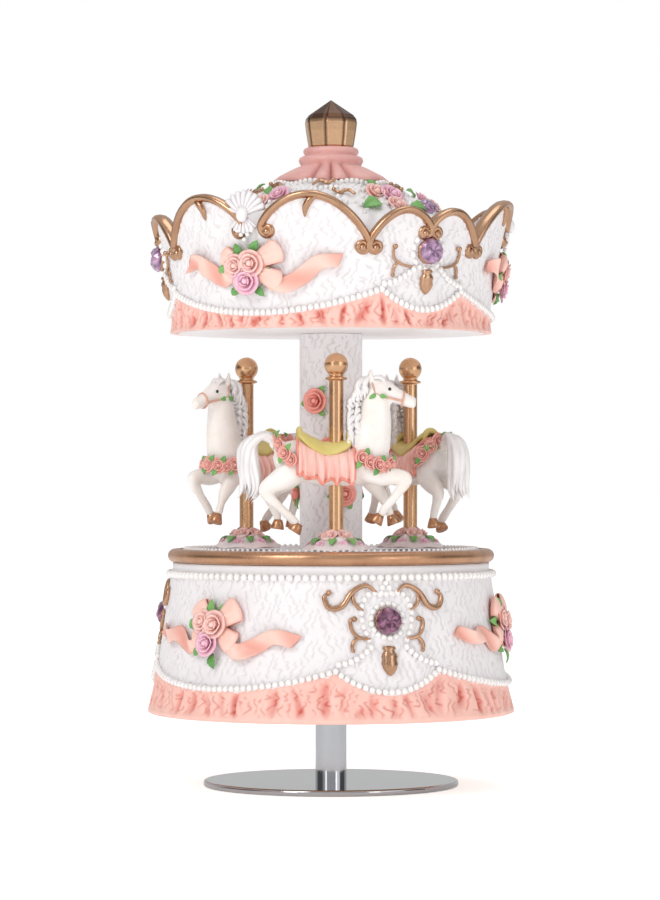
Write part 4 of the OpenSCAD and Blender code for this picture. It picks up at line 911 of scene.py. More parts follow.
def build_column():
    """The middle post with its crackle, and the nine roses on it."""
    foot, top = DECK_TOP + 0.05, FLOOR_Z - 0.05
    cols, rows = 300, 260
    z = np.linspace(foot, top, rows)
    a = (np.arange(cols) * TURN / cols)[:, None]
    cut, line = crackled(sizes().crackle_pitch / MM, 21, CRACKLE_CUT, COLUMN_R)(a, z[None])
    r = COLUMN_R - cut
    points = np.stack([r * np.sin(a), -r * np.cos(a), z[None] + 0 * r], axis=-1)
    ends = [np.zeros((cols, 1, 3)) + (0, 0, h) for h in (foot, top)]
    depth = np.concatenate([np.zeros((cols, 1)), line, np.zeros((cols, 1))], axis=1)
    post = surface(np.concatenate([ends[0], points, ends[1]], axis=1), wrap_u=True, hollow=depth)
    add_piece("middle_post", {"white_resin": post}, "carousel", ("column",))
    roses, leaves = [], []
    for turn, h, size in ((19, 14, 5.0), (-6, 25.5, 4.4), (-30, 37.5, 5.0)):
        roses.append(facing(rose(size, 5 * turn), POLE_AT + turn, COLUMN_R + 0.2, DECK_TOP + h))
        for s in (60, 190, 300):
            x, y, _ = polar(1.3, s, 0)
            leaves.append(facing(leaf_at(x, y, s, 3.2, 2.0), POLE_AT + turn, COLUMN_R - 0.1, DECK_TOP + h))
    add_piece("climbing_roses", {"coral_petals": thrice(join(roses)), "leaf_paint": thrice(join(leaves))},
              "carousel", ("column_roses",))


def build_deck():
    """The row of beads on the deck, evenly around just inside the rim."""
    turns = np.arange(150) * 360 / 150
    spots = on_wall(turns, np.full(150, DECK_TOP + 0.1), lambda q: DECK_R - 1.3 + 0 * q, 0)
    add_piece("deck_beads", {"pearl": balls(spots, 0.46)}, "carousel")


# ---------------------------------------------------------------- horses


def at_pole(part, k, yaw=(0, 0, -14)):
    """Puts a part made about a horse's middle at pole k, turned on the pole: x is forwards, -y faces out."""
    return moved(moved(part, spin(yaw[k]), (0, -POLE_CIRCLE, HORSE_Z)), spin(POLE_AT + 120 * k))


def oval_limb(stations, count=28, sides=16):
    """Body part carried along a curve: each station is (x, y, z, half width, half height)."""
    s = np.asarray(stations, float)
    path = spline(s[:, :3], count)
    u = np.linspace(0, len(s) - 1, count)
    wide = np.interp(u, np.arange(len(s)), s[:, 3])
    tall = np.interp(u, np.arange(len(s)), s[:, 4])
    t = np.gradient(path, axis=0)
    t /= np.linalg.norm(t, axis=1)[:, None]
    side = np.broadcast_to((0, 1.0, 0), t.shape)
    lift = np.cross(side, t)
    lift /= np.linalg.norm(lift, axis=1)[:, None]
    side = np.cross(t, lift)
    a = np.arange(sides) * TURN / sides
    ring = path[:, None] + wide[:, None, None] * np.cos(a)[None, :, None] * side[:, None] + tall[:, None,
                                                                                                 None] * np.sin(a)[None, :, None] * lift[:, None]
    cap0 = [path[0] - t[0] * tall[0] * k for k in (0.75, 0.45)]
    cap1 = [path[-1] + t[-1] * tall[-1] * k for k in (0.45, 0.75)]
    r0 = [np.repeat(cap0[0][None], sides, 0), cap0[1] + 0.72 * (ring[0] - path[0])]
    r1 = [cap1[0] + 0.72 * (ring[-1] - path[-1]), np.repeat(cap1[1][None], sides, 0)]
    return surface(np.concatenate([[r0[0], r0[1]], ring, [r1[0], r1[1]]])[::-1], wrap_v=True)


def horse_parts():
    """The horse's body parts, which the remesh melts into one skin."""
    n = HOOF_OUT
    return [
        oval_limb([(-12.6, 0, 1.6, 4.0, 4.4), (-9, 0, 1.2, 5.0, 5.3), (-3, 0, -0.4, 4.5, 4.6),
                   (3, 0, -0.5, 4.5, 4.6), (8, 0, 0.6, 4.6, 5.2), (10.6, 0, 1.2, 3.4, 4.2)], 40, 24),
        oval_limb([(7.6, 0, 1.6, 4.7, 5.2), (8.7, 0, 6.0, 4.1, 4.9), (9.4, 0, 11.0, 3.4, 4.3),
                   (9.7, 0, 15.6, 2.9, 3.7), (10.2, 0, 18.6, 2.5, 3.0)], 30, 20),
        oval_limb([(9.6, 0, 18.9, 2.2, 2.7), (12.0, 0, 18.6, 2.2, 2.7), (15.2, 0, 17.2, 1.6, 1.9),
                   (17.8, 0, 16.0, 1.45, 1.6), (19.0, 0, 15.4, 1.3, 1.3)], 26, 18),
        oval_limb([(11.0, 0, 16.9, 1.7, 1.5), (13.4, 0, 16.2, 1.3, 1.2)], 8, 12),
        ball((18.9, 0.0, 16.1), 1.15, 10, 8), ball((19.1, 0, 14.9), 0.8, 10, 8),
        oval_limb([(8.8, 1.2, 20.4, 0.8, 0.9), (8.5, 1.5, 22.4, 0.7, 0.7), (8.6, 1.6, 23.8, 0.25, 0.25)], 8, 10),
        oval_limb([(8.8, -1.2, 20.4, 0.8, 0.9), (8.5, -1.5, 22.4, 0.7, 0.7), (8.6, -1.6, 23.8, 0.25, 0.25)], 8, 10),
        oval_limb([(7.6, -2.2, -1.2, 2.6, 3.2), (11.4, -n, -2.6, 2.1, 2.6), (15.8, -n, -2.8, 1.6, 1.8),
                   (17.2, -n, -3.8, 1.45, 1.6), (14.6, -n, -7.6, 1.05, 1.1), (12.0, -n, -10.6, 1.15, 1.15),
                   (11.0, -n, -12.2, 1.0, 1.0)], 36, 14),
        oval_limb([(7.4, 2.2, -1.4, 2.6, 3.2), (9.4, n, -4.6, 1.9, 2.3), (11.4, n, -7.4, 1.5, 1.6),
                   (12.6, n, -9.8, 1.0, 1.0), (13.6, n, -12.2, 1.1, 1.1)], 28, 14),
        oval_limb([(-9.8, -2.0, -0.4, 3.2, 4.2), (-13.0, -n, -3.0, 2.6, 3.2), (-17.4, -n, -5.6, 1.7, 1.9),
                   (-17.0, -n, -7.6, 1.4, 1.5), (-13.8, -n, -10.8, 1.05, 1.1), (-11.2, -n, -13.2, 1.15, 1.15),
                   (-10.0, -n, -14.4, 1.0, 1.0)], 36, 14),
        oval_limb([(-9.8, 2.0, -0.4, 3.2, 4.2), (-12.6, n, -3.6, 2.5, 3.0), (-16.4, n, -6.8, 1.6, 1.8),
                   (-16.0, n, -9.2, 1.2, 1.3), (-14.8, n, -12.0, 1.05, 1.05), (-14.4, n, -13.4, 1.0, 1.0)], 32, 14),
        oval_limb([(-13.2, 0, 3.8, 2.0, 2.0), (-15.6, 0, 5.8, 1.5, 1.5)], 8, 12),
    ]


def melted(parts, voxel, rounds):
    """One smooth skin over overlapping parts: they are remeshed on a grid of voxels, then relaxed."""
    v, f, _ = join(parts)
    mesh = bpy.data.meshes.new("melt")
    mesh.from_pydata(v.tolist(), [], f.tolist())
    bm = bmesh.new()
    bm.from_mesh(mesh)
    bmesh.ops.remove_doubles(bm, verts=bm.verts, dist=1e-5)
    bmesh.ops.dissolve_degenerate(bm, edges=bm.edges, dist=1e-6)
    bm.to_mesh(mesh)
    bm.free()
    block = bpy.data.objects.new("melt", mesh)
    bpy.context.scene.collection.objects.link(block)
    remesh = block.modifiers.new("remesh", "REMESH")
    remesh.mode = "VOXEL"
    remesh.voxel_size = voxel
    relax = block.modifiers.new("relax", "SMOOTH")
    relax.factor = 0.5
    relax.iterations = rounds
    done = bpy.data.meshes.new_from_object(block.evaluated_get(bpy.context.evaluated_depsgraph_get()))
    co = np.zeros(len(done.vertices) * 3)
    done.vertices.foreach_get("co", co)
    quads = np.array([list(p.vertices) + [p.vertices[-1]] * (4 - len(p.vertices)) for p in done.polygons])
    bpy.data.objects.remove(block)
    for m in (mesh, done):
        bpy.data.meshes.remove(m)
    return co.reshape(-1, 3), quads, np.zeros(len(co) // 3)


def locks(roots, tips, bulge, r, waves=2.0, amount=0.5, count=16, sides=6):
    """Locks of hair: each runs from a root to a tip over a bulge, and waves as it goes."""
    parts = []
    u = np.linspace(0, 1, count)[:, None]
    for i, (a, b) in enumerate(zip(np.asarray(roots, float), np.asarray(tips, float))):
        path = a + (b - a) * u + np.asarray(bulge) * np.sin(np.pi * u)
        wob = amount * np.sin(waves * TURN * u + 1.7 * i)
        path = path + wob * np.array([0.55, 0.25 * (-1) ** i, 0.5])
        radius = r * (0.55 + 0.45 * np.sin(np.pi * u[:, 0] ** 0.7)) * (1 - 0.75 * u[:, 0] ** 3)
        parts.append(tube(path, radius, sides, up=(0, 1, 0.01)))
    return join(parts)


def horse_hair():
    """Mane, forelock and tail: rows of curling locks on both sides of the crest, and a fan of long ones behind."""
    parts = []
    s = np.linspace(0, 1, 11)
    crest = spline([(7.2, 0, 21.4), (5.8, 0, 17.5), (5.2, 0, 12.5), (4.6, 0, 7.2)], 11)
    for side in (-1, 1):
        for row, reach in ((0, 3.4), (1, 2.3)):
            roots = crest + np.array([0.5 * row, side * 0.5, 0.0])
            tips = crest + np.stack([-1.4 + 0.9 * np.sin(9 * s) + 1.5 * row, side * (2.6 - 0.6 * row) + 0 * s,
                                     -reach - 0.8 * np.cos(7 * s)], axis=1)
            parts.append(locks(roots, tips, (-1.1 + 0.8 * row, side * 0.9, 0.9), 0.85, 1.2, 0.45))
    lock = np.linspace(-1, 1, 5)
    roots = np.stack([8.6 + 0 * lock, 1.0 * lock, 21.4 + 0 * lock], axis=1)
    parts.append(locks(roots, roots + np.stack([4.0 + 0 * lock, 0.5 * lock, -1.2 - 0.3 * np.abs(lock)], axis=1),
                       (0.6, 0, 1.0), 0.62, 1.0, 0.3, 12))
    curve = [(-14.6, 0, 5.6), (-18.4, 0, 7.4), (-21.4, 0, 4.8), (-21.8, 0, -0.5), (-21.4, 0, -6.0),
             (-23.0, 0, -9.4)]
    base = spline(curve, 40)
    u = np.linspace(0, 1, 40)
    for i in range(15):
        phase = TURN * i / 15
        spread = 0.35 + 1.5 * np.sin(np.pi * u * 0.8) * (1 if i % 2 else 0.7) + 1.0 * u**3
        path = base + np.stack([np.cos(phase) * spread, np.sin(phase) * spread * 1.05,
                                0.35 * np.sin(phase + 4 * u)], axis=1)
        path[:, 0] += 0.35 * np.sin(10 * u + i)
        stop = 40 - (i * 7) % 9
        radius = (0.5 + 0.45 * np.sin(np.pi * u) ** 0.7) * (1 - 0.85 * np.linspace(0, 1, 40) ** 5)
        radius = radius[:stop] * np.minimum(1, (stop - np.arange(stop)) / 6)
        parts.append(tube(path[:stop], radius, 6, up=(0, 1, 0.01)))
    return join(parts)


def hoof(x, y, z, toe):
    """Hoof that widens to its sole, tilted about the side axis."""
    rim = np.array([(0.0, 0.5), (0.95, 0.45), (1.2, -0.3), (1.62, -1.75), (1.5, -2.0), (0, -2.0)])
    return moved(surface(lathe(rim, 18) * (1.08, 1, 1), wrap_v=True), spin(toe, "y"), (x, y, z))


def build_horses():
    """Three horses: one melted skin each, with separate hair, hooves, eyes and bridle."""
    n = HOOF_OUT
    skin = melted(horse_parts(), 0.36, 5)
    hair = horse_hair()
    hooves = join([hoof(10.6, -n, -12.6, 32), hoof(13.9, n, -12.8, -22), hoof(-9.6, -n, -14.8, 32),
                   hoof(-14.3, n, -13.9, 8)])
    eyes = join([moved(ball((0, 0, 0), 0.44, 10, 8), np.diag([1, 0.7, 1]), (13.2, s * 1.95, 18.9))
                 for s in (-1, 1)])
    a = np.linspace(0, TURN, 30)
    noseband = np.stack([16.6 + 0.35 * np.sin(a), 1.72 * np.cos(a), 16.5 + 1.85 * np.sin(a)], axis=1)
    straps = [tube(noseband, 0.26, 6, up=(1, 0, 0.01))]
    for s in (-1, 1):
        cheek = spline([(16.4, s * 1.65, 15.9), (14.0, s * 2.0, 16.5), (11.6, s * 2.35, 17.0),
                        (9.8, s * 2.4, 17.8)], 20)
        straps.append(tube(cheek, 0.26, 6, up=(0, 1, 0.01)))
        brow = spline([(9.6, s * 2.4, 17.8), (9.0, s * 2.1, 19.8), (8.6, s * 0.9, 21.6)], 12)
        straps.append(tube(brow, 0.24, 6, up=(0, 1, 0.01)))
    sprigs = join([moved(leaf(length, 1.1), spin(-90 * s, "x") @ spin(-s * way), (x, s * 2.45, z)) for s in (-1, 1)
                   for x, z, way, length in ((9.8, 17.7, -145, 2.2), (10.6, 17.3, -12, 2.0))])
    for k in range(3):
        add_piece(f"prancer_{k + 1}", {"horse_resin": at_pole(skin, k), "hair_resin": at_pole(hair, k),
                                       "hoof_paint": at_pole(hooves, k),
                                       "eye_paint": at_pole(eyes, k), "bridle_paint": at_pole(join(straps), k),
                                       "leaf_paint": at_pole(sprigs, k)},
                  "carousel", (f"horse_{k + 1}",))


def barrel_at(x):
    """Half width and half height of a horse's barrel, and its middle's height, at station x."""
    xs = [-12.6, -9, -3, 3, 8, 10.6]
    return (np.interp(x, xs, [4.0, 5.0, 4.5, 4.5, 4.6, 3.4]), np.interp(x, xs, [4.4, 5.3, 4.6, 4.6, 5.2, 4.2]),
            np.interp(x, xs, [1.6, 1.2, -0.4, -0.5, 0.6, 1.2]))


def draped_over(x, degrees, out):
    """Points on the barrel, degrees down from its top, out from its skin."""
    w, t, m = barrel_at(x)
    b = np.radians(degrees)
    return np.stack([x, -(w + out) * np.sin(b), m + (t + out) * np.cos(b)], axis=-1)


def build_saddles():
    """Pleated saddle cloths with a dark hem, crescent saddles, and garlands of roses round rump and chest."""
    x = np.linspace(-9.6, 4.2, 90)[:, None]
    d = np.linspace(-128, 128, 61)[None]
    down = smooth((np.abs(d) - 35) / 70)
    pleats = np.cos(x * TURN / 1.95 + 0.9 * np.sin(2.3 * x) + 0.6 * np.sin(d / 20))
    reach = 1 + 0.05 * np.cos(x * TURN / 3.5)
    out = 0.55 + down * (0.95 + 0.5 * pleats)
    cloth_p = draped_over(x + 0 * d, d * reach, out)
    lift = cloth_p - draped_over(x + 0 * d, d * reach, out - 1)
    sheet = strip(cloth_p[:, ::-1], 0.4, lift[:, ::-1])
    hems, girth = [], []
    for s in (-1, 1):
        line = draped_over(x[:, 0], s * 124 * reach[:, 0], 1.55 + 0.5 * pleats[:, 0])
        hems.append(tube(line, 0.42, 6, up=(0, 1, 0.01)))
    for end in (-9.8, 4.3):
        dd = np.linspace(-126, 126, 60)
        girth.append(tube(draped_over(np.full(60, end), dd, 0.55 + 0.5 * smooth((np.abs(dd) - 35) / 70)), 0.42, 6,
                          up=(1, 0, 0)))
    u = np.linspace(-1, 1, 31)[:, None]
    v = np.linspace(-1, 1, 17)[None]
    sx = -3.0 + 6.6 * u
    half = 58 * (1 - 0.45 * u**2)
    seat_d = half * v
    seat_h = 1.2 + 0.9 * np.abs(u) ** 2.2 * np.cos(np.radians(seat_d)) + 0.5 * (1 - np.abs(v) ** 4)
    seat_p = draped_over(sx + 0 * v, seat_d, seat_h)
    up = seat_p - draped_over(sx + 0 * v, seat_d, seat_h - 1)
    seat = strip(seat_p[:, ::-1], 0.8, up[:, ::-1])
    horns = [tube(spline([(x, -2.6, 5.6), (x, -1.2, h), (x, 1.2, h), (x, 2.6, 5.6)], 20), 0.75, 8, up=(1, 0, 0))
             for x, h in ((-9.2, 8.6), (3.2, 7.6))]
    flowers, leaves, bands = [], [], []
    garland = spline([(-14.6, 0, 6.8), (-14.0, -2.8, 5.2), (-12.4, -5.0, 2.6), (-10.2, -5.7, 0.4)], 30)
    front = spline([(5.0, -5.2, 2.4), (8.2, -5.2, 0.6), (11.4, -4.2, -0.2), (13.4, -1.8, 0.0), (13.9, 0, 0.2)], 40)
    for path, spots in ((garland, (4, 11, 18, 25)), (front, (3, 9, 15, 21, 27, 34, 39))):
        for s in (1, -1):
            line = path * (1, s, 1)
            bands.append(tube(line, 0.5, 6, up=(0, 0.01, 1)))
            for j, i in enumerate(spots):
                if s < 0 and i == 39:
                    continue
                p = line[i]
                side = np.array([p[0] * 0.35 - (2.0 if p[0] < 0 else -1.0), p[1] * 1.6, 0.6])
                side /= np.linalg.norm(side)
                a = np.cross((0, 0, 1.0), side)
                a /= np.linalg.norm(a)
                m = np.stack([a, np.cross(side, a), side], axis=1)
                flowers.append(moved(rose(2.7 if j % 2 else 3.2, 60 * j), m, p + 0.25 * side))
                if j % 2 == 0:
                    leaves.append(moved(leaf_at(0.6, 0.4, 60, 2.4, 1.4), m, p + 0.3 * side))
                    leaves.append(moved(leaf_at(-0.4, -0.6, 240, 2.4, 1.4), m, p + 0.3 * side))
    for k in range(3):
        add_piece(f"saddle_and_cloth_{k + 1}", {"cloth_paint": at_pole(sheet, k),
                                                "hem_paint": at_pole(join(hems + girth + bands), k),
                                               "saddle_paint": at_pole(join([seat] + horns), k),
                                               "garland_petals": at_pole(join(flowers), k),
                                               "leaf_paint": at_pole(join(leaves), k)},
                  "carousel", (f"saddle_{k + 1}",))


def build_poles():
    """Gilt poles that end in a collar and a ball, and the flowered mounds that they stand in."""
    sides = 40
    a = np.arange(sides) * TURN / sides
    u = np.concatenate([np.linspace(0, 42, 60), np.linspace(42.1, 43.6, 30),
                        46.2 - 2.95 * np.cos(np.linspace(0.75, np.pi - 0.02, 34))])
    z = DECK_TOP + u
    collar = np.maximum(POLE_R + 0.95 * np.exp(-(((u - 42.8) / 0.42) ** 4)), 0)
    orb = np.sqrt(np.clip(2.95**2 - (u - 46.2) ** 2, 0, None))
    r = np.where(u > 43.7, orb, collar)[:, None] + 0 * a[None]
    ring = np.stack([r * np.cos(a), r * np.sin(a), z[:, None] - HORSE_Z + 0 * r], axis=-1)
    caps = [np.repeat(np.array([[0, 0, h - HORSE_Z]])[None], sides, axis=1) for h in (z[0], z[-1])]
    pole = surface(np.concatenate([caps[0], ring, caps[1]])[::-1], wrap_v=True)
    lumps = lambda b, s: (0.25 * np.sin(5 * b + 2 * s) * np.sin(3.1 * s), 0.25 * np.sin(7 * b) * np.sin(np.pi * s))
    profile = [(0, 0.05), (7.9, 0.05), (8.4, 0.5), (7.2, 1.3), (5.6, 2.1), (4.6, 3.0), (3.2, 3.6), (0, 3.8)]
    base = DECK_TOP - HORSE_Z
    mound = shifted(turned(profile, 72, lumps, 34), (0, 0, base))
    small = ((3, 0.5, 0.9, 0.05), (5, 1.0, 0.6, 0.2))
    petals, green, dots = [], [], []
    for i in range(5):
        t = 72 * i + 20
        petals.append(moved(rose(3.4, 30 * i, small), spin(t) @ spin(38, "y"), polar(3.0, t, base + 3.3)))
    for i in range(7):
        t = 51.4 * i
        green.append(moved(leaf(3.2, 1.9), spin(t) @ spin(25, "y"), polar(4.2, t, base + 2.9)))
        dots.append(moved(rose(2.0, 30 * i, small), spin(t + 20) @ spin(50, "y"), polar(6.7, t + 24, base + 1.3)))
    for k in range(3):
        add_piece(f"twisted_pole_{k + 1}", {"pole_gilt": at_pole(pole, k)}, "carousel",
                  (f"pole_{k + 1}",))
        add_piece(f"flower_mound_{k + 1}", {"mound_resin": at_pole(mound, k),
                                            "pale_petals": at_pole(join(petals), k),
                                           "leaf_paint": at_pole(join(green), k), "cool_petals": at_pole(join(dots),
                                                                                                         k)},
                  "carousel", (f"mound_{k + 1}",))


# ---------------------------------------------------------------- finishes


def linear(code):
    """Linear colour of an sRGB hex code."""
    c = [int(code[i:i + 2], 16) / 255 for i in (1, 3, 5)]
    return tuple(v / 12.92 if v <= 0.04045 else ((v + 0.055) / 1.055) ** 2.4 for v in c) + (1.0,)


def add_node(tree, kind, inputs=None, **settings):
    """Adds a shader node with its settings, its values and its links."""
    made = tree.nodes.new(kind)
    for key, value in settings.items():
        setattr(made, key, value)
    for key, value in (inputs or {}).items():
        if isinstance(value, bpy.types.NodeSocket):
            tree.links.new(value, made.inputs[key])
        else:
            made.inputs[key].default_value = value
    return made


def finish(name, colour, shade, grain_mm, bump, mottle, **sockets):
    """One finish: its colour sinks to shade in the hollows and is mottled by shade elsewhere, and a fine grain of the
    given size roughens it."""
    if name in bpy.data.materials:
        return bpy.data.materials[name]
    mat = bpy.data.materials.new(name)
    mat.use_nodes = True
    tree = mat.node_tree
    tree.nodes.clear()
    place = add_node(tree, "ShaderNodeTexCoord").outputs["Object"]
    grain = add_node(tree, "ShaderNodeTexNoise",
                     {"Vector": place, "Scale": 1000 / grain_mm, "Detail": 4.0, "Roughness": 0.6})
    cloud = add_node(tree, "ShaderNodeTexNoise", {"Vector": place, "Scale": 1000 / 7.0, "Detail": 3.0})
    patch = add_node(tree, "ShaderNodeMapRange",
                     {"Value": cloud.outputs["Fac"], "From Min": 0.42, "From Max": 0.72, "To Min": 0.0,
                      "To Max": mottle})
    hollow = add_node(tree, "ShaderNodeAttribute", attribute_name="hollow")
    both = add_node(tree, "ShaderNodeMath", {0: patch.outputs["Result"], 1: hollow.outputs["Fac"]},
                    operation="MAXIMUM")
    paint = add_node(tree, "ShaderNodeMix", {"Factor": both.outputs["Value"], "A": colour, "B": shade},
                     data_type="RGBA")
    rough = sockets.pop("Roughness", 0.4)
    dull = add_node(tree, "ShaderNodeMapRange",
                    {"Value": grain.outputs["Fac"], "From Min": 0.3, "From Max": 0.7, "To Min": rough * 0.85,
                     "To Max": min(1.0, rough * 1.2)})
    relief = add_node(tree, "ShaderNodeBump",
                      {"Height": grain.outputs["Fac"], "Strength": bump, "Distance": grain_mm * 0.0005})
    shader = add_node(tree, "ShaderNodeBsdfPrincipled",
                      {"Base Color": paint.outputs[2], "Roughness": dull.outputs["Result"],
                       "Normal": relief.outputs["Normal"], **sockets})
    add_node(tree, "ShaderNodeOutputMaterial", {"Surface": shader.outputs["BSDF"]})
    return mat


def painted(key):
    """The user's colour for a finish."""
    return tuple(getattr(bpy.context.scene.carousel_colours, key)[:]) + (1.0,)


def material(key):
    """The material of one row of the table of finishes."""
    name, colour, shade, grain_mm, bump, mottle, values = FINISHES[key]
    colour = linear(colour) if colour.startswith("#") else painted(colour)
    return finish(name, colour, linear(shade), grain_mm, bump, mottle, **values)


# Each finish: its material's name, its colour (a code, or the name of one of the user's colours), the shade of its
# hollows, the size of its grain in mm, the grain's relief, how far the shade mottles it, and the shader's own values
FINISHES = {
    # Cast resin, sprayed white: a soft satin skin whose crackle grooves are painted grey as shade
    "white_resin": ("cast_resin_white", "white", "#c9c0c1", 0.35, 0.12, 0.08, {"Roughness": 0.42}),
    # The same casting in coral: pale on the folds, with deep coral painted shade in the creases
    "coral_resin": ("cast_resin_coral", "coral", "#d7685b", 0.35, 0.12, 0.12, {"Roughness": 0.40}),
    # Pearl lacquer over beads: bright, with a clear coat
    "pearl": ("pearl_lacquer", "pearl", "#d9d0ca", 0.3, 0.05, 0.15,
              {"Roughness": 0.26, "Coat Weight": 0.5, "Coat Roughness": 0.12}),
    # Hand-painted ribbon: pale peach, with painted shade inside the loops, at the knot and where the tails lie low
    "ribbon_paint": ("painted_resin_ribbon", "ribbon", "#dd7f6c", 0.4, 0.08, 0.12, {"Roughness": 0.34}),
    # Rose petals, dipped and tinted by hand: pale rims, with painted shade deepening towards the hearts
    "pale_petals": ("painted_resin_rose_pale", "rose", "#eba59b", 0.4, 0.08, 0.15, {"Roughness": 0.38}),
    "cool_petals": ("painted_resin_rose_cool", "#f5c9d9", "#e093ae", 0.4, 0.08, 0.15, {"Roughness": 0.38}),
    "coral_petals": ("painted_resin_rose_coral", "#ffb6a8", "#f37c6e", 0.4, 0.08, 0.2, {"Roughness": 0.38}),
    "garland_petals": ("painted_resin_rose_garland", "#f6bcb0", "#e78a80", 0.4, 0.08, 0.2, {"Roughness": 0.38}),
    # Leaves in green, brushed unevenly: dark patches over light ones
    "leaf_paint": ("painted_resin_leaf", "#7fb866", "#3c7a35", 0.5, 0.1, 0.8, {"Roughness": 0.36}),
    # Metallic paint brushed on relief: bright gold with a brown wash
    "gold_paint": ("metallic_paint_gold", "gold", "#7c523b", 0.6, 0.10, 0.35,
                   {"Roughness": 0.24, "Metallic": 0.95}),
    # The same paint in copper: duller, for the rim of the deck
    "copper_paint": ("metallic_paint_copper", "#c99a78", "#8c6048", 0.8, 0.1, 0.35,
                     {"Roughness": 0.30, "Metallic": 0.9}),
    # The knob: the same gilding, burnished on its flat faces, with dark brown painted shade in the grooves and dark
    # brown paint on top
    "knob_gilt": ("burnished_gilding", "#dcb28c", "#5a3f30", 2.0, 0.02, 0.1, {"Roughness": 0.26, "Metallic": 0.9}),
    # Gilt hooves, worn darker in patches
    "hoof_paint": ("metallic_paint_hoof", "#c99672", "#8c6048", 0.5, 0.1, 0.3,
                   {"Roughness": 0.3, "Metallic": 0.85}),
    # Brass poles, polished and lacquered
    "pole_gilt": ("lacquered_brass", "#dbae86", "#9a6a4c", 2.0, 0.02, 0.12, {"Roughness": 0.24, "Metallic": 1.0}),
    # Rose-pink casting of the cap: satin, with painted shade deeper between its pleats
    "cap_resin": ("cast_resin_rose_pink", "cap", "#b9776f", 0.4, 0.1, 0.3, {"Roughness": 0.42}),
    # Horses: milky resin with a warm shadow
    "horse_resin": ("milky_resin", "horse", "#dccbb8", 0.5, 0.05, 0.35,
                    {"Roughness": 0.3, "Subsurface Weight": 0.12, "Subsurface Radius": (1.0, 0.8, 0.6),
                     "Subsurface Scale": 0.001}),
    # Manes and tails in the same resin: cooler, and grey between the locks
    "hair_resin": ("milky_resin_hair", "#efeceb", "#c9c2c4", 0.4, 0.1, 0.3, {"Roughness": 0.34}),
    # Black enamel dots: small bright glints
    "eye_paint": ("black_enamel", "#15110f", "#2a211c", 0.5, 0.02, 0.1, {"Roughness": 0.1, "Coat Weight": 0.8}),
    # Painted straps, cloths and hems in coral: nearly matt
    "bridle_paint": ("painted_strap", "#dcab98", "#b98a62", 0.4, 0.1, 0.4, {"Roughness": 0.4}),
    "cloth_paint": ("painted_resin_cloth", "#f8c9be", "#ea9c8f", 0.4, 0.1, 0.3, {"Roughness": 0.4}),
    "hem_paint": ("painted_resin_hem", "#f09c8b", "#d9705f", 0.4, 0.1, 0.3, {"Roughness": 0.4}),
    # Saddles in cream yellow: ochre where they are worn
    "saddle_paint": ("painted_resin_saddle", "#dccb7c", "#b79a45", 0.5, 0.1, 0.4, {"Roughness": 0.36}),
    # Mounds of white resin with pink painted shade in their hollows
    "mound_resin": ("cast_resin_mound", "#efe6e6", "#dcb9b6", 0.5, 0.1, 0.4, {"Roughness": 0.42}),
    # Cut glass stones, foiled behind; the facets are painted dark and light as reflections, over the shader's own
    # mirror
    "amethyst_glass": ("foiled_glass_amethyst", "#b87a9f", "#3a1629", 1.2, 0.15, 0.2,
                       {"Roughness": 0.06, "Metallic": 0.55, "Coat Weight": 1.0, "Coat Roughness": 0.02}),
    "lilac_glass": ("foiled_glass_lilac", "#ddb6d6", "#6b4270", 1.2, 0.15, 0.2,
                    {"Roughness": 0.06, "Metallic": 0.5, "Coat Weight": 1.0, "Coat Roughness": 0.02}),
    # Chromium plate over steel: a clean mirror with faint polishing haze
    "chrome": ("chromium_plate", "#bcbdc1", "#a3a5ab", 3.0, 0.01, 0.1, {"Roughness": 0.07, "Metallic": 1.0}),
    "zinc": ("zinc_plate", "#b4b4b0", "#8d8e8c", 1.0, 0.05, 0.4, {"Roughness": 0.35, "Metallic": 1.0}),
    "steel": ("bright_steel", "#c4c4c4", "#8f9194", 0.8, 0.04, 0.3, {"Roughness": 0.25, "Metallic": 1.0}),
    "brass": ("rolled_brass", "#c9a659", "#8d6b2f", 0.8, 0.05, 0.4, {"Roughness": 0.3, "Metallic": 1.0}),
    "casting": ("zinc_die_casting", "#9ea1a4", "#6f7376", 0.9, 0.2, 0.4, {"Roughness": 0.45, "Metallic": 0.9}),
    "blued": ("blued_spring_steel", "#56606b", "#2f3a4a", 0.8, 0.04, 0.4, {"Roughness": 0.25, "Metallic": 1.0}),
    # Pressed board of the bottom cover: pale brown with long fibres
    "board": ("hardboard", "#b98e60", "#8c6540", 1.4, 0.3, 0.6, {"Roughness": 0.75}),
}
# Finishes of the CAD's material slots whose name isn't the finish's own
CAD_FINISHES = {"zinc_screw": "zinc", "bright_steel": "steel", "movement_brass": "brass",
                "ribbon_coral": "ribbon_paint", "rose_pink": "pale_petals", "drum_gem": "amethyst_glass",
                "cover_board": "board", "canopy_gem": "lilac_glass", "cap_pink": "cap_resin",
                "saddle_cream": "saddle_paint", "pole_gold": "pole_gilt", "zinc_casting": "casting",
                "spring_steel": "blued"}


def finish_cad_nodes():
    """Gives every CAD node that stays in view the finish of its material slot."""
    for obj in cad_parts.values():
        for slot in obj.material_slots:
            name = slot.material.name.split(".")[0]
            slot.material = material(CAD_FINISHES.get(name, name))


# ---------------------------------------------------------------- stage

# Lamps: name, place, power in watts, width and height; all in metres, and all aimed at the object's middle
LAMPS = (
    ("key", (-0.55, -0.75, 0.75), 3.3, 0.4, 0.4),
    ("fill", (0.85, -0.6, 0.35), 0.9, 0.6, 0.6),
    ("top", (0.1, 0.1, 1.1), 2.0, 0.6, 0.6),
    # Tall narrow lamps that draw bright lines down the poles
    ("left_strip", (-0.45, -0.62, 0.12), 0.5, 0.16, 0.6),
    ("right_strip", (0.5, -0.62, 0.12), 0.45, 0.14, 0.6),
)
LAMPS_AIM = (0, 0, 0.09)
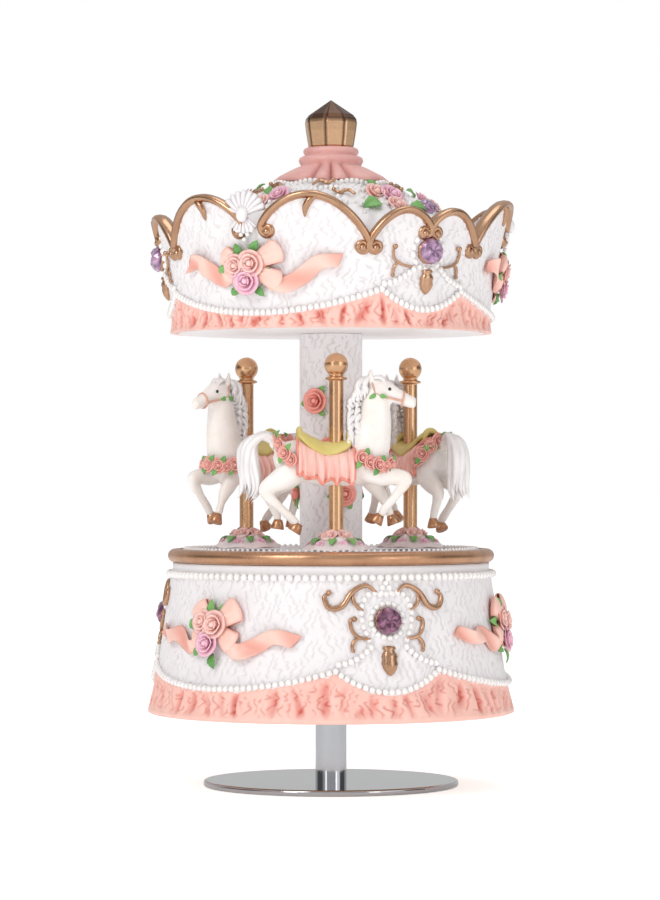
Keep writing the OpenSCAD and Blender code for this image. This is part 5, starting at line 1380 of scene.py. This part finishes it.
# Camera: a long lens at the height of the horses, whose view climbs by this rise on its way to the middle
CAMERA_AT = (-0.00025, -0.9, 0.080)
CAMERA_RISE = 0.0056
LENS = 141


def backdrop():
    """Floor paper with a glow of its own: white to the eye, dimmer in the stand's mirror."""
    mat = finish("backdrop_paper", linear("#f6f6f6"), linear("#f2f2f2"), 2.0, 0.02, 0.1,
                 **{"Roughness": 0.9, "Emission Color": (1, 1, 1, 1)})
    tree = mat.node_tree
    shader = next(node for node in tree.nodes if node.type == "BSDF_PRINCIPLED")
    mirror = add_node(tree, "ShaderNodeLightPath").outputs["Is Glossy Ray"]
    glow = add_node(tree, "ShaderNodeMapRange", {"Value": mirror, "To Min": 0.56, "To Max": 0.15})
    tree.links.new(glow.outputs["Result"], shader.inputs["Emission Strength"])
    return mat


def build_stage():
    """Pale floor out to the horizon, soft lights on both sides and above, and the camera in front."""
    scene = bpy.context.scene
    ring = np.array([0.0, 0.3, 1.0, 4.0, 12.0])[None, :, None]
    a = (np.arange(64) * TURN / 64)[:, None]
    round_about = np.stack([np.cos(a), np.sin(a), 0 * a], axis=-1)
    v, f, _ = surface(ring * round_about, wrap_u=True)
    mesh = bpy.data.meshes.new("floor")
    mesh.from_pydata(v.tolist(), [], f[:, ::-1].tolist())
    mesh.materials.append(backdrop())
    sheet = bpy.data.objects.new("floor", mesh)
    scene.collection.objects.link(sheet)
    for name, place, power, size, tall in LAMPS:
        lamp = bpy.data.lights.new(name, "AREA")
        lamp.energy = power
        lamp.shape = "RECTANGLE"
        lamp.size, lamp.size_y = size, tall
        obj = bpy.data.objects.new(name, lamp)
        scene.collection.objects.link(obj)
        obj.location = place
        aim = np.array(LAMPS_AIM) - np.array(place)
        obj.rotation_euler = (math.atan2(math.hypot(aim[0], aim[1]), -aim[2]), 0, math.atan2(-aim[0], aim[1]))
    world = bpy.data.worlds.new("studio")
    world.use_nodes = True
    tree = world.node_tree
    tree.nodes.clear()
    # White all round to the eye; as light it is weaker, and dark flags stand on both sides for the metal to mirror
    way = add_node(tree, "ShaderNodeSeparateXYZ",
                   {"Vector": add_node(tree, "ShaderNodeTexCoord").outputs["Generated"]})
    aside = add_node(tree, "ShaderNodeMath", {0: way.outputs["X"]}, operation="ABSOLUTE")
    flag = add_node(tree, "ShaderNodeMapRange",
                    {"Value": aside.outputs["Value"], "From Min": 0.80, "From Max": 0.93, "To Min": 0.58,
                     "To Max": 0.12})
    sight = add_node(tree, "ShaderNodeLightPath")
    strength = add_node(tree, "ShaderNodeMix",
                        {0: sight.outputs["Is Camera Ray"], 2: flag.outputs["Result"], 3: 1.0}, data_type="FLOAT")
    sky = add_node(tree, "ShaderNodeBackground", {"Color": (1, 1, 1, 1), "Strength": strength.outputs[0]})
    add_node(tree, "ShaderNodeOutputWorld", {"Surface": sky.outputs["Background"]})
    scene.world = world
    scene.view_settings.view_transform = "Standard"
    cam = bpy.data.cameras.new("camera")
    cam.lens = LENS
    cam.sensor_width = 36
    obj = bpy.data.objects.new("camera", cam)
    scene.collection.objects.link(obj)
    obj.location = CAMERA_AT
    obj.rotation_euler = (math.pi / 2 + math.atan2(CAMERA_RISE, -CAMERA_AT[1]), 0, 0)
    scene.camera = obj


# ---------------------------------------------------------------- add-on


class CarouselSizes(bpy.types.PropertyGroup):
    """Sizes of the carousel's fine work."""
    pearl: FloatProperty(name="Pearl", description="Diameter of a pearl on the drum", default=0.002, min=0.001,
                         max=0.003, unit="LENGTH")
    crackle_pitch: FloatProperty(name="Crackle pitch", description="Distance between the grooves of the crackle",
                                 default=0.0019, min=0.001, max=0.004, unit="LENGTH")
    drum_folds: IntProperty(name="Drum folds", description="Folds around the drum's frill", default=46, min=20,
                            max=90)
    canopy_folds: IntProperty(name="Canopy folds", description="Folds around the canopy's frill", default=52,
                              min=20, max=90)
    cap_folds: IntProperty(name="Cap folds", description="Deep folds of the pleated cap", default=10, min=6, max=16)


def colour_property(name, code):
    """A colour that the user can change, with its sRGB code as the default."""
    return FloatVectorProperty(name=name, description=f"Colour of the {name.lower()}", default=linear(code)[:3],
                               size=3, min=0, max=1, subtype="COLOR")


class CarouselColours(bpy.types.PropertyGroup):
    """Colours of the carousel's finishes."""
    white: colour_property("White resin", "#ece8e9")
    coral: colour_property("Coral frill", "#f5c4b7")
    pearl: colour_property("Pearls", "#f3f0ee")
    ribbon: colour_property("Ribbons", "#f7cbbd")
    rose: colour_property("Roses", "#fad3cb")
    gold: colour_property("Gold paint", "#caa081")
    cap: colour_property("Cap", "#e6b0a9")
    horse: colour_property("Horses", "#f3ede8")


class BuildStep:
    """What every step of the build has in common."""
    bl_options = {"REGISTER", "UNDO"}

    @classmethod
    def poll(cls, context):
        return context.mode == "OBJECT"


class CAROUSEL_OT_stage(BuildStep, bpy.types.Operator):
    """Sets up the floor, the lights and the camera"""
    bl_idname = "carousel.stage"
    bl_label = "Stage"

    def execute(self, context):
        build_stage()
        return {"FINISHED"}


class CAROUSEL_OT_metalwork(BuildStep, bpy.types.Operator):
    """Finishes the stand, the movement and the other parts that keep their CAD shape"""
    bl_idname = "carousel.metalwork"
    bl_label = "Stand and movement"

    def execute(self, context):
        finish_cad_nodes()
        return {"FINISHED"}


class CAROUSEL_OT_walls(BuildStep, bpy.types.Operator):
    """Builds the crackled walls of the drum and the crown"""
    bl_idname = "carousel.walls"
    bl_label = "White walls"

    def execute(self, context):
        build_drum_wall()
        build_crown_wall()
        return {"FINISHED"}


class CAROUSEL_OT_frills(BuildStep, bpy.types.Operator):
    """Builds the gathered coral frills of the drum and the canopy"""
    bl_idname = "carousel.frills"
    bl_label = "Frills"

    def execute(self, context):
        build_drum_frill()
        build_crown_frill()
        return {"FINISHED"}


class CAROUSEL_OT_pearls(BuildStep, bpy.types.Operator):
    """Strings the pearls on the drum, the deck and the canopy"""
    bl_idname = "carousel.pearls"
    bl_label = "Pearls"

    def execute(self, context):
        build_pearls()
        build_deck()
        return {"FINISHED"}


class CAROUSEL_OT_stones(BuildStep, bpy.types.Operator):
    """Sets the cut stones in their gold cups"""
    bl_idname = "carousel.stones"
    bl_label = "Stones"

    def execute(self, context):
        build_gems()
        return {"FINISHED"}


class CAROUSEL_OT_wirework(BuildStep, bpy.types.Operator):
    """Builds the gold scrolls, the drops and the edging of the crown"""
    bl_idname = "carousel.wirework"
    bl_label = "Gold work"

    def execute(self, context):
        build_scrolls()
        build_trim()
        return {"FINISHED"}


class CAROUSEL_OT_bows(BuildStep, bpy.types.Operator):
    """Ties the bows with their roses and leaves"""
    bl_idname = "carousel.bows"
    bl_label = "Bows"

    def execute(self, context):
        build_bows()
        return {"FINISHED"}


class CAROUSEL_OT_shells(BuildStep, bpy.types.Operator):
    """Builds the scallop shells of the crown"""
    bl_idname = "carousel.shells"
    bl_label = "Shells"

    def execute(self, context):
        build_shells()
        return {"FINISHED"}


class CAROUSEL_OT_roof(BuildStep, bpy.types.Operator):
    """Builds the roof with its garland and pleated cap"""
    bl_idname = "carousel.roof"
    bl_label = "Roof"

    def execute(self, context):
        build_roof()
        build_knob()
        return {"FINISHED"}


class CAROUSEL_OT_post(BuildStep, bpy.types.Operator):
    """Builds the middle post and its climbing roses"""
    bl_idname = "carousel.post"
    bl_label = "Middle post"

    def execute(self, context):
        build_column()
        return {"FINISHED"}


class CAROUSEL_OT_horses(BuildStep, bpy.types.Operator):
    """Builds the three horses"""
    bl_idname = "carousel.horses"
    bl_label = "Horses"

    def execute(self, context):
        build_horses()
        return {"FINISHED"}


class CAROUSEL_OT_saddles(BuildStep, bpy.types.Operator):
    """Builds the saddles, their cloths and the garlands"""
    bl_idname = "carousel.saddles"
    bl_label = "Saddles"

    def execute(self, context):
        build_saddles()
        return {"FINISHED"}


class CAROUSEL_OT_poles(BuildStep, bpy.types.Operator):
    """Builds the gilt poles and the mounds at their feet"""
    bl_idname = "carousel.poles"
    bl_label = "Poles"

    def execute(self, context):
        build_poles()
        return {"FINISHED"}


STEPS = (CAROUSEL_OT_stage, CAROUSEL_OT_metalwork, CAROUSEL_OT_walls, CAROUSEL_OT_frills, CAROUSEL_OT_pearls,
         CAROUSEL_OT_stones,
         CAROUSEL_OT_wirework, CAROUSEL_OT_bows, CAROUSEL_OT_shells, CAROUSEL_OT_roof, CAROUSEL_OT_post,
         CAROUSEL_OT_horses,
         CAROUSEL_OT_saddles, CAROUSEL_OT_poles)


class VIEW3D_PT_carousel(bpy.types.Panel):
    """Sizes, colours and build steps of the carousel."""
    bl_label = "Carousel music box"
    bl_idname = "VIEW3D_PT_carousel"
    bl_space_type = "VIEW_3D"
    bl_region_type = "UI"
    bl_category = "Carousel"

    def draw(self, context):
        for group in (context.scene.carousel_sizes, context.scene.carousel_colours):
            box = self.layout.box()
            for key in group.bl_rna.properties.keys():
                if key not in ("rna_type", "name"):
                    box.prop(group, key)
        for step in STEPS:
            self.layout.operator(step.bl_idname)


CLASSES = (CarouselSizes, CarouselColours, *STEPS, VIEW3D_PT_carousel)


def sizes():
    """The user's sizes."""
    return bpy.context.scene.carousel_sizes


def register():
    """Makes the classes known and hangs the sizes and colours on the scene."""
    for item in CLASSES:
        bpy.utils.register_class(item)
    bpy.types.Scene.carousel_sizes = PointerProperty(type=CarouselSizes)
    bpy.types.Scene.carousel_colours = PointerProperty(type=CarouselColours)


def unregister():
    """Takes back what register did."""
    del bpy.types.Scene.carousel_colours
    del bpy.types.Scene.carousel_sizes
    for item in reversed(CLASSES):
        bpy.utils.unregister_class(item)


def main():
    """Registers the add-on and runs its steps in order."""
    register()
    for step in STEPS:
        group, name = step.bl_idname.split(".")
        getattr(getattr(bpy.ops, group), name)()


if __name__ == "__main__":
    main()
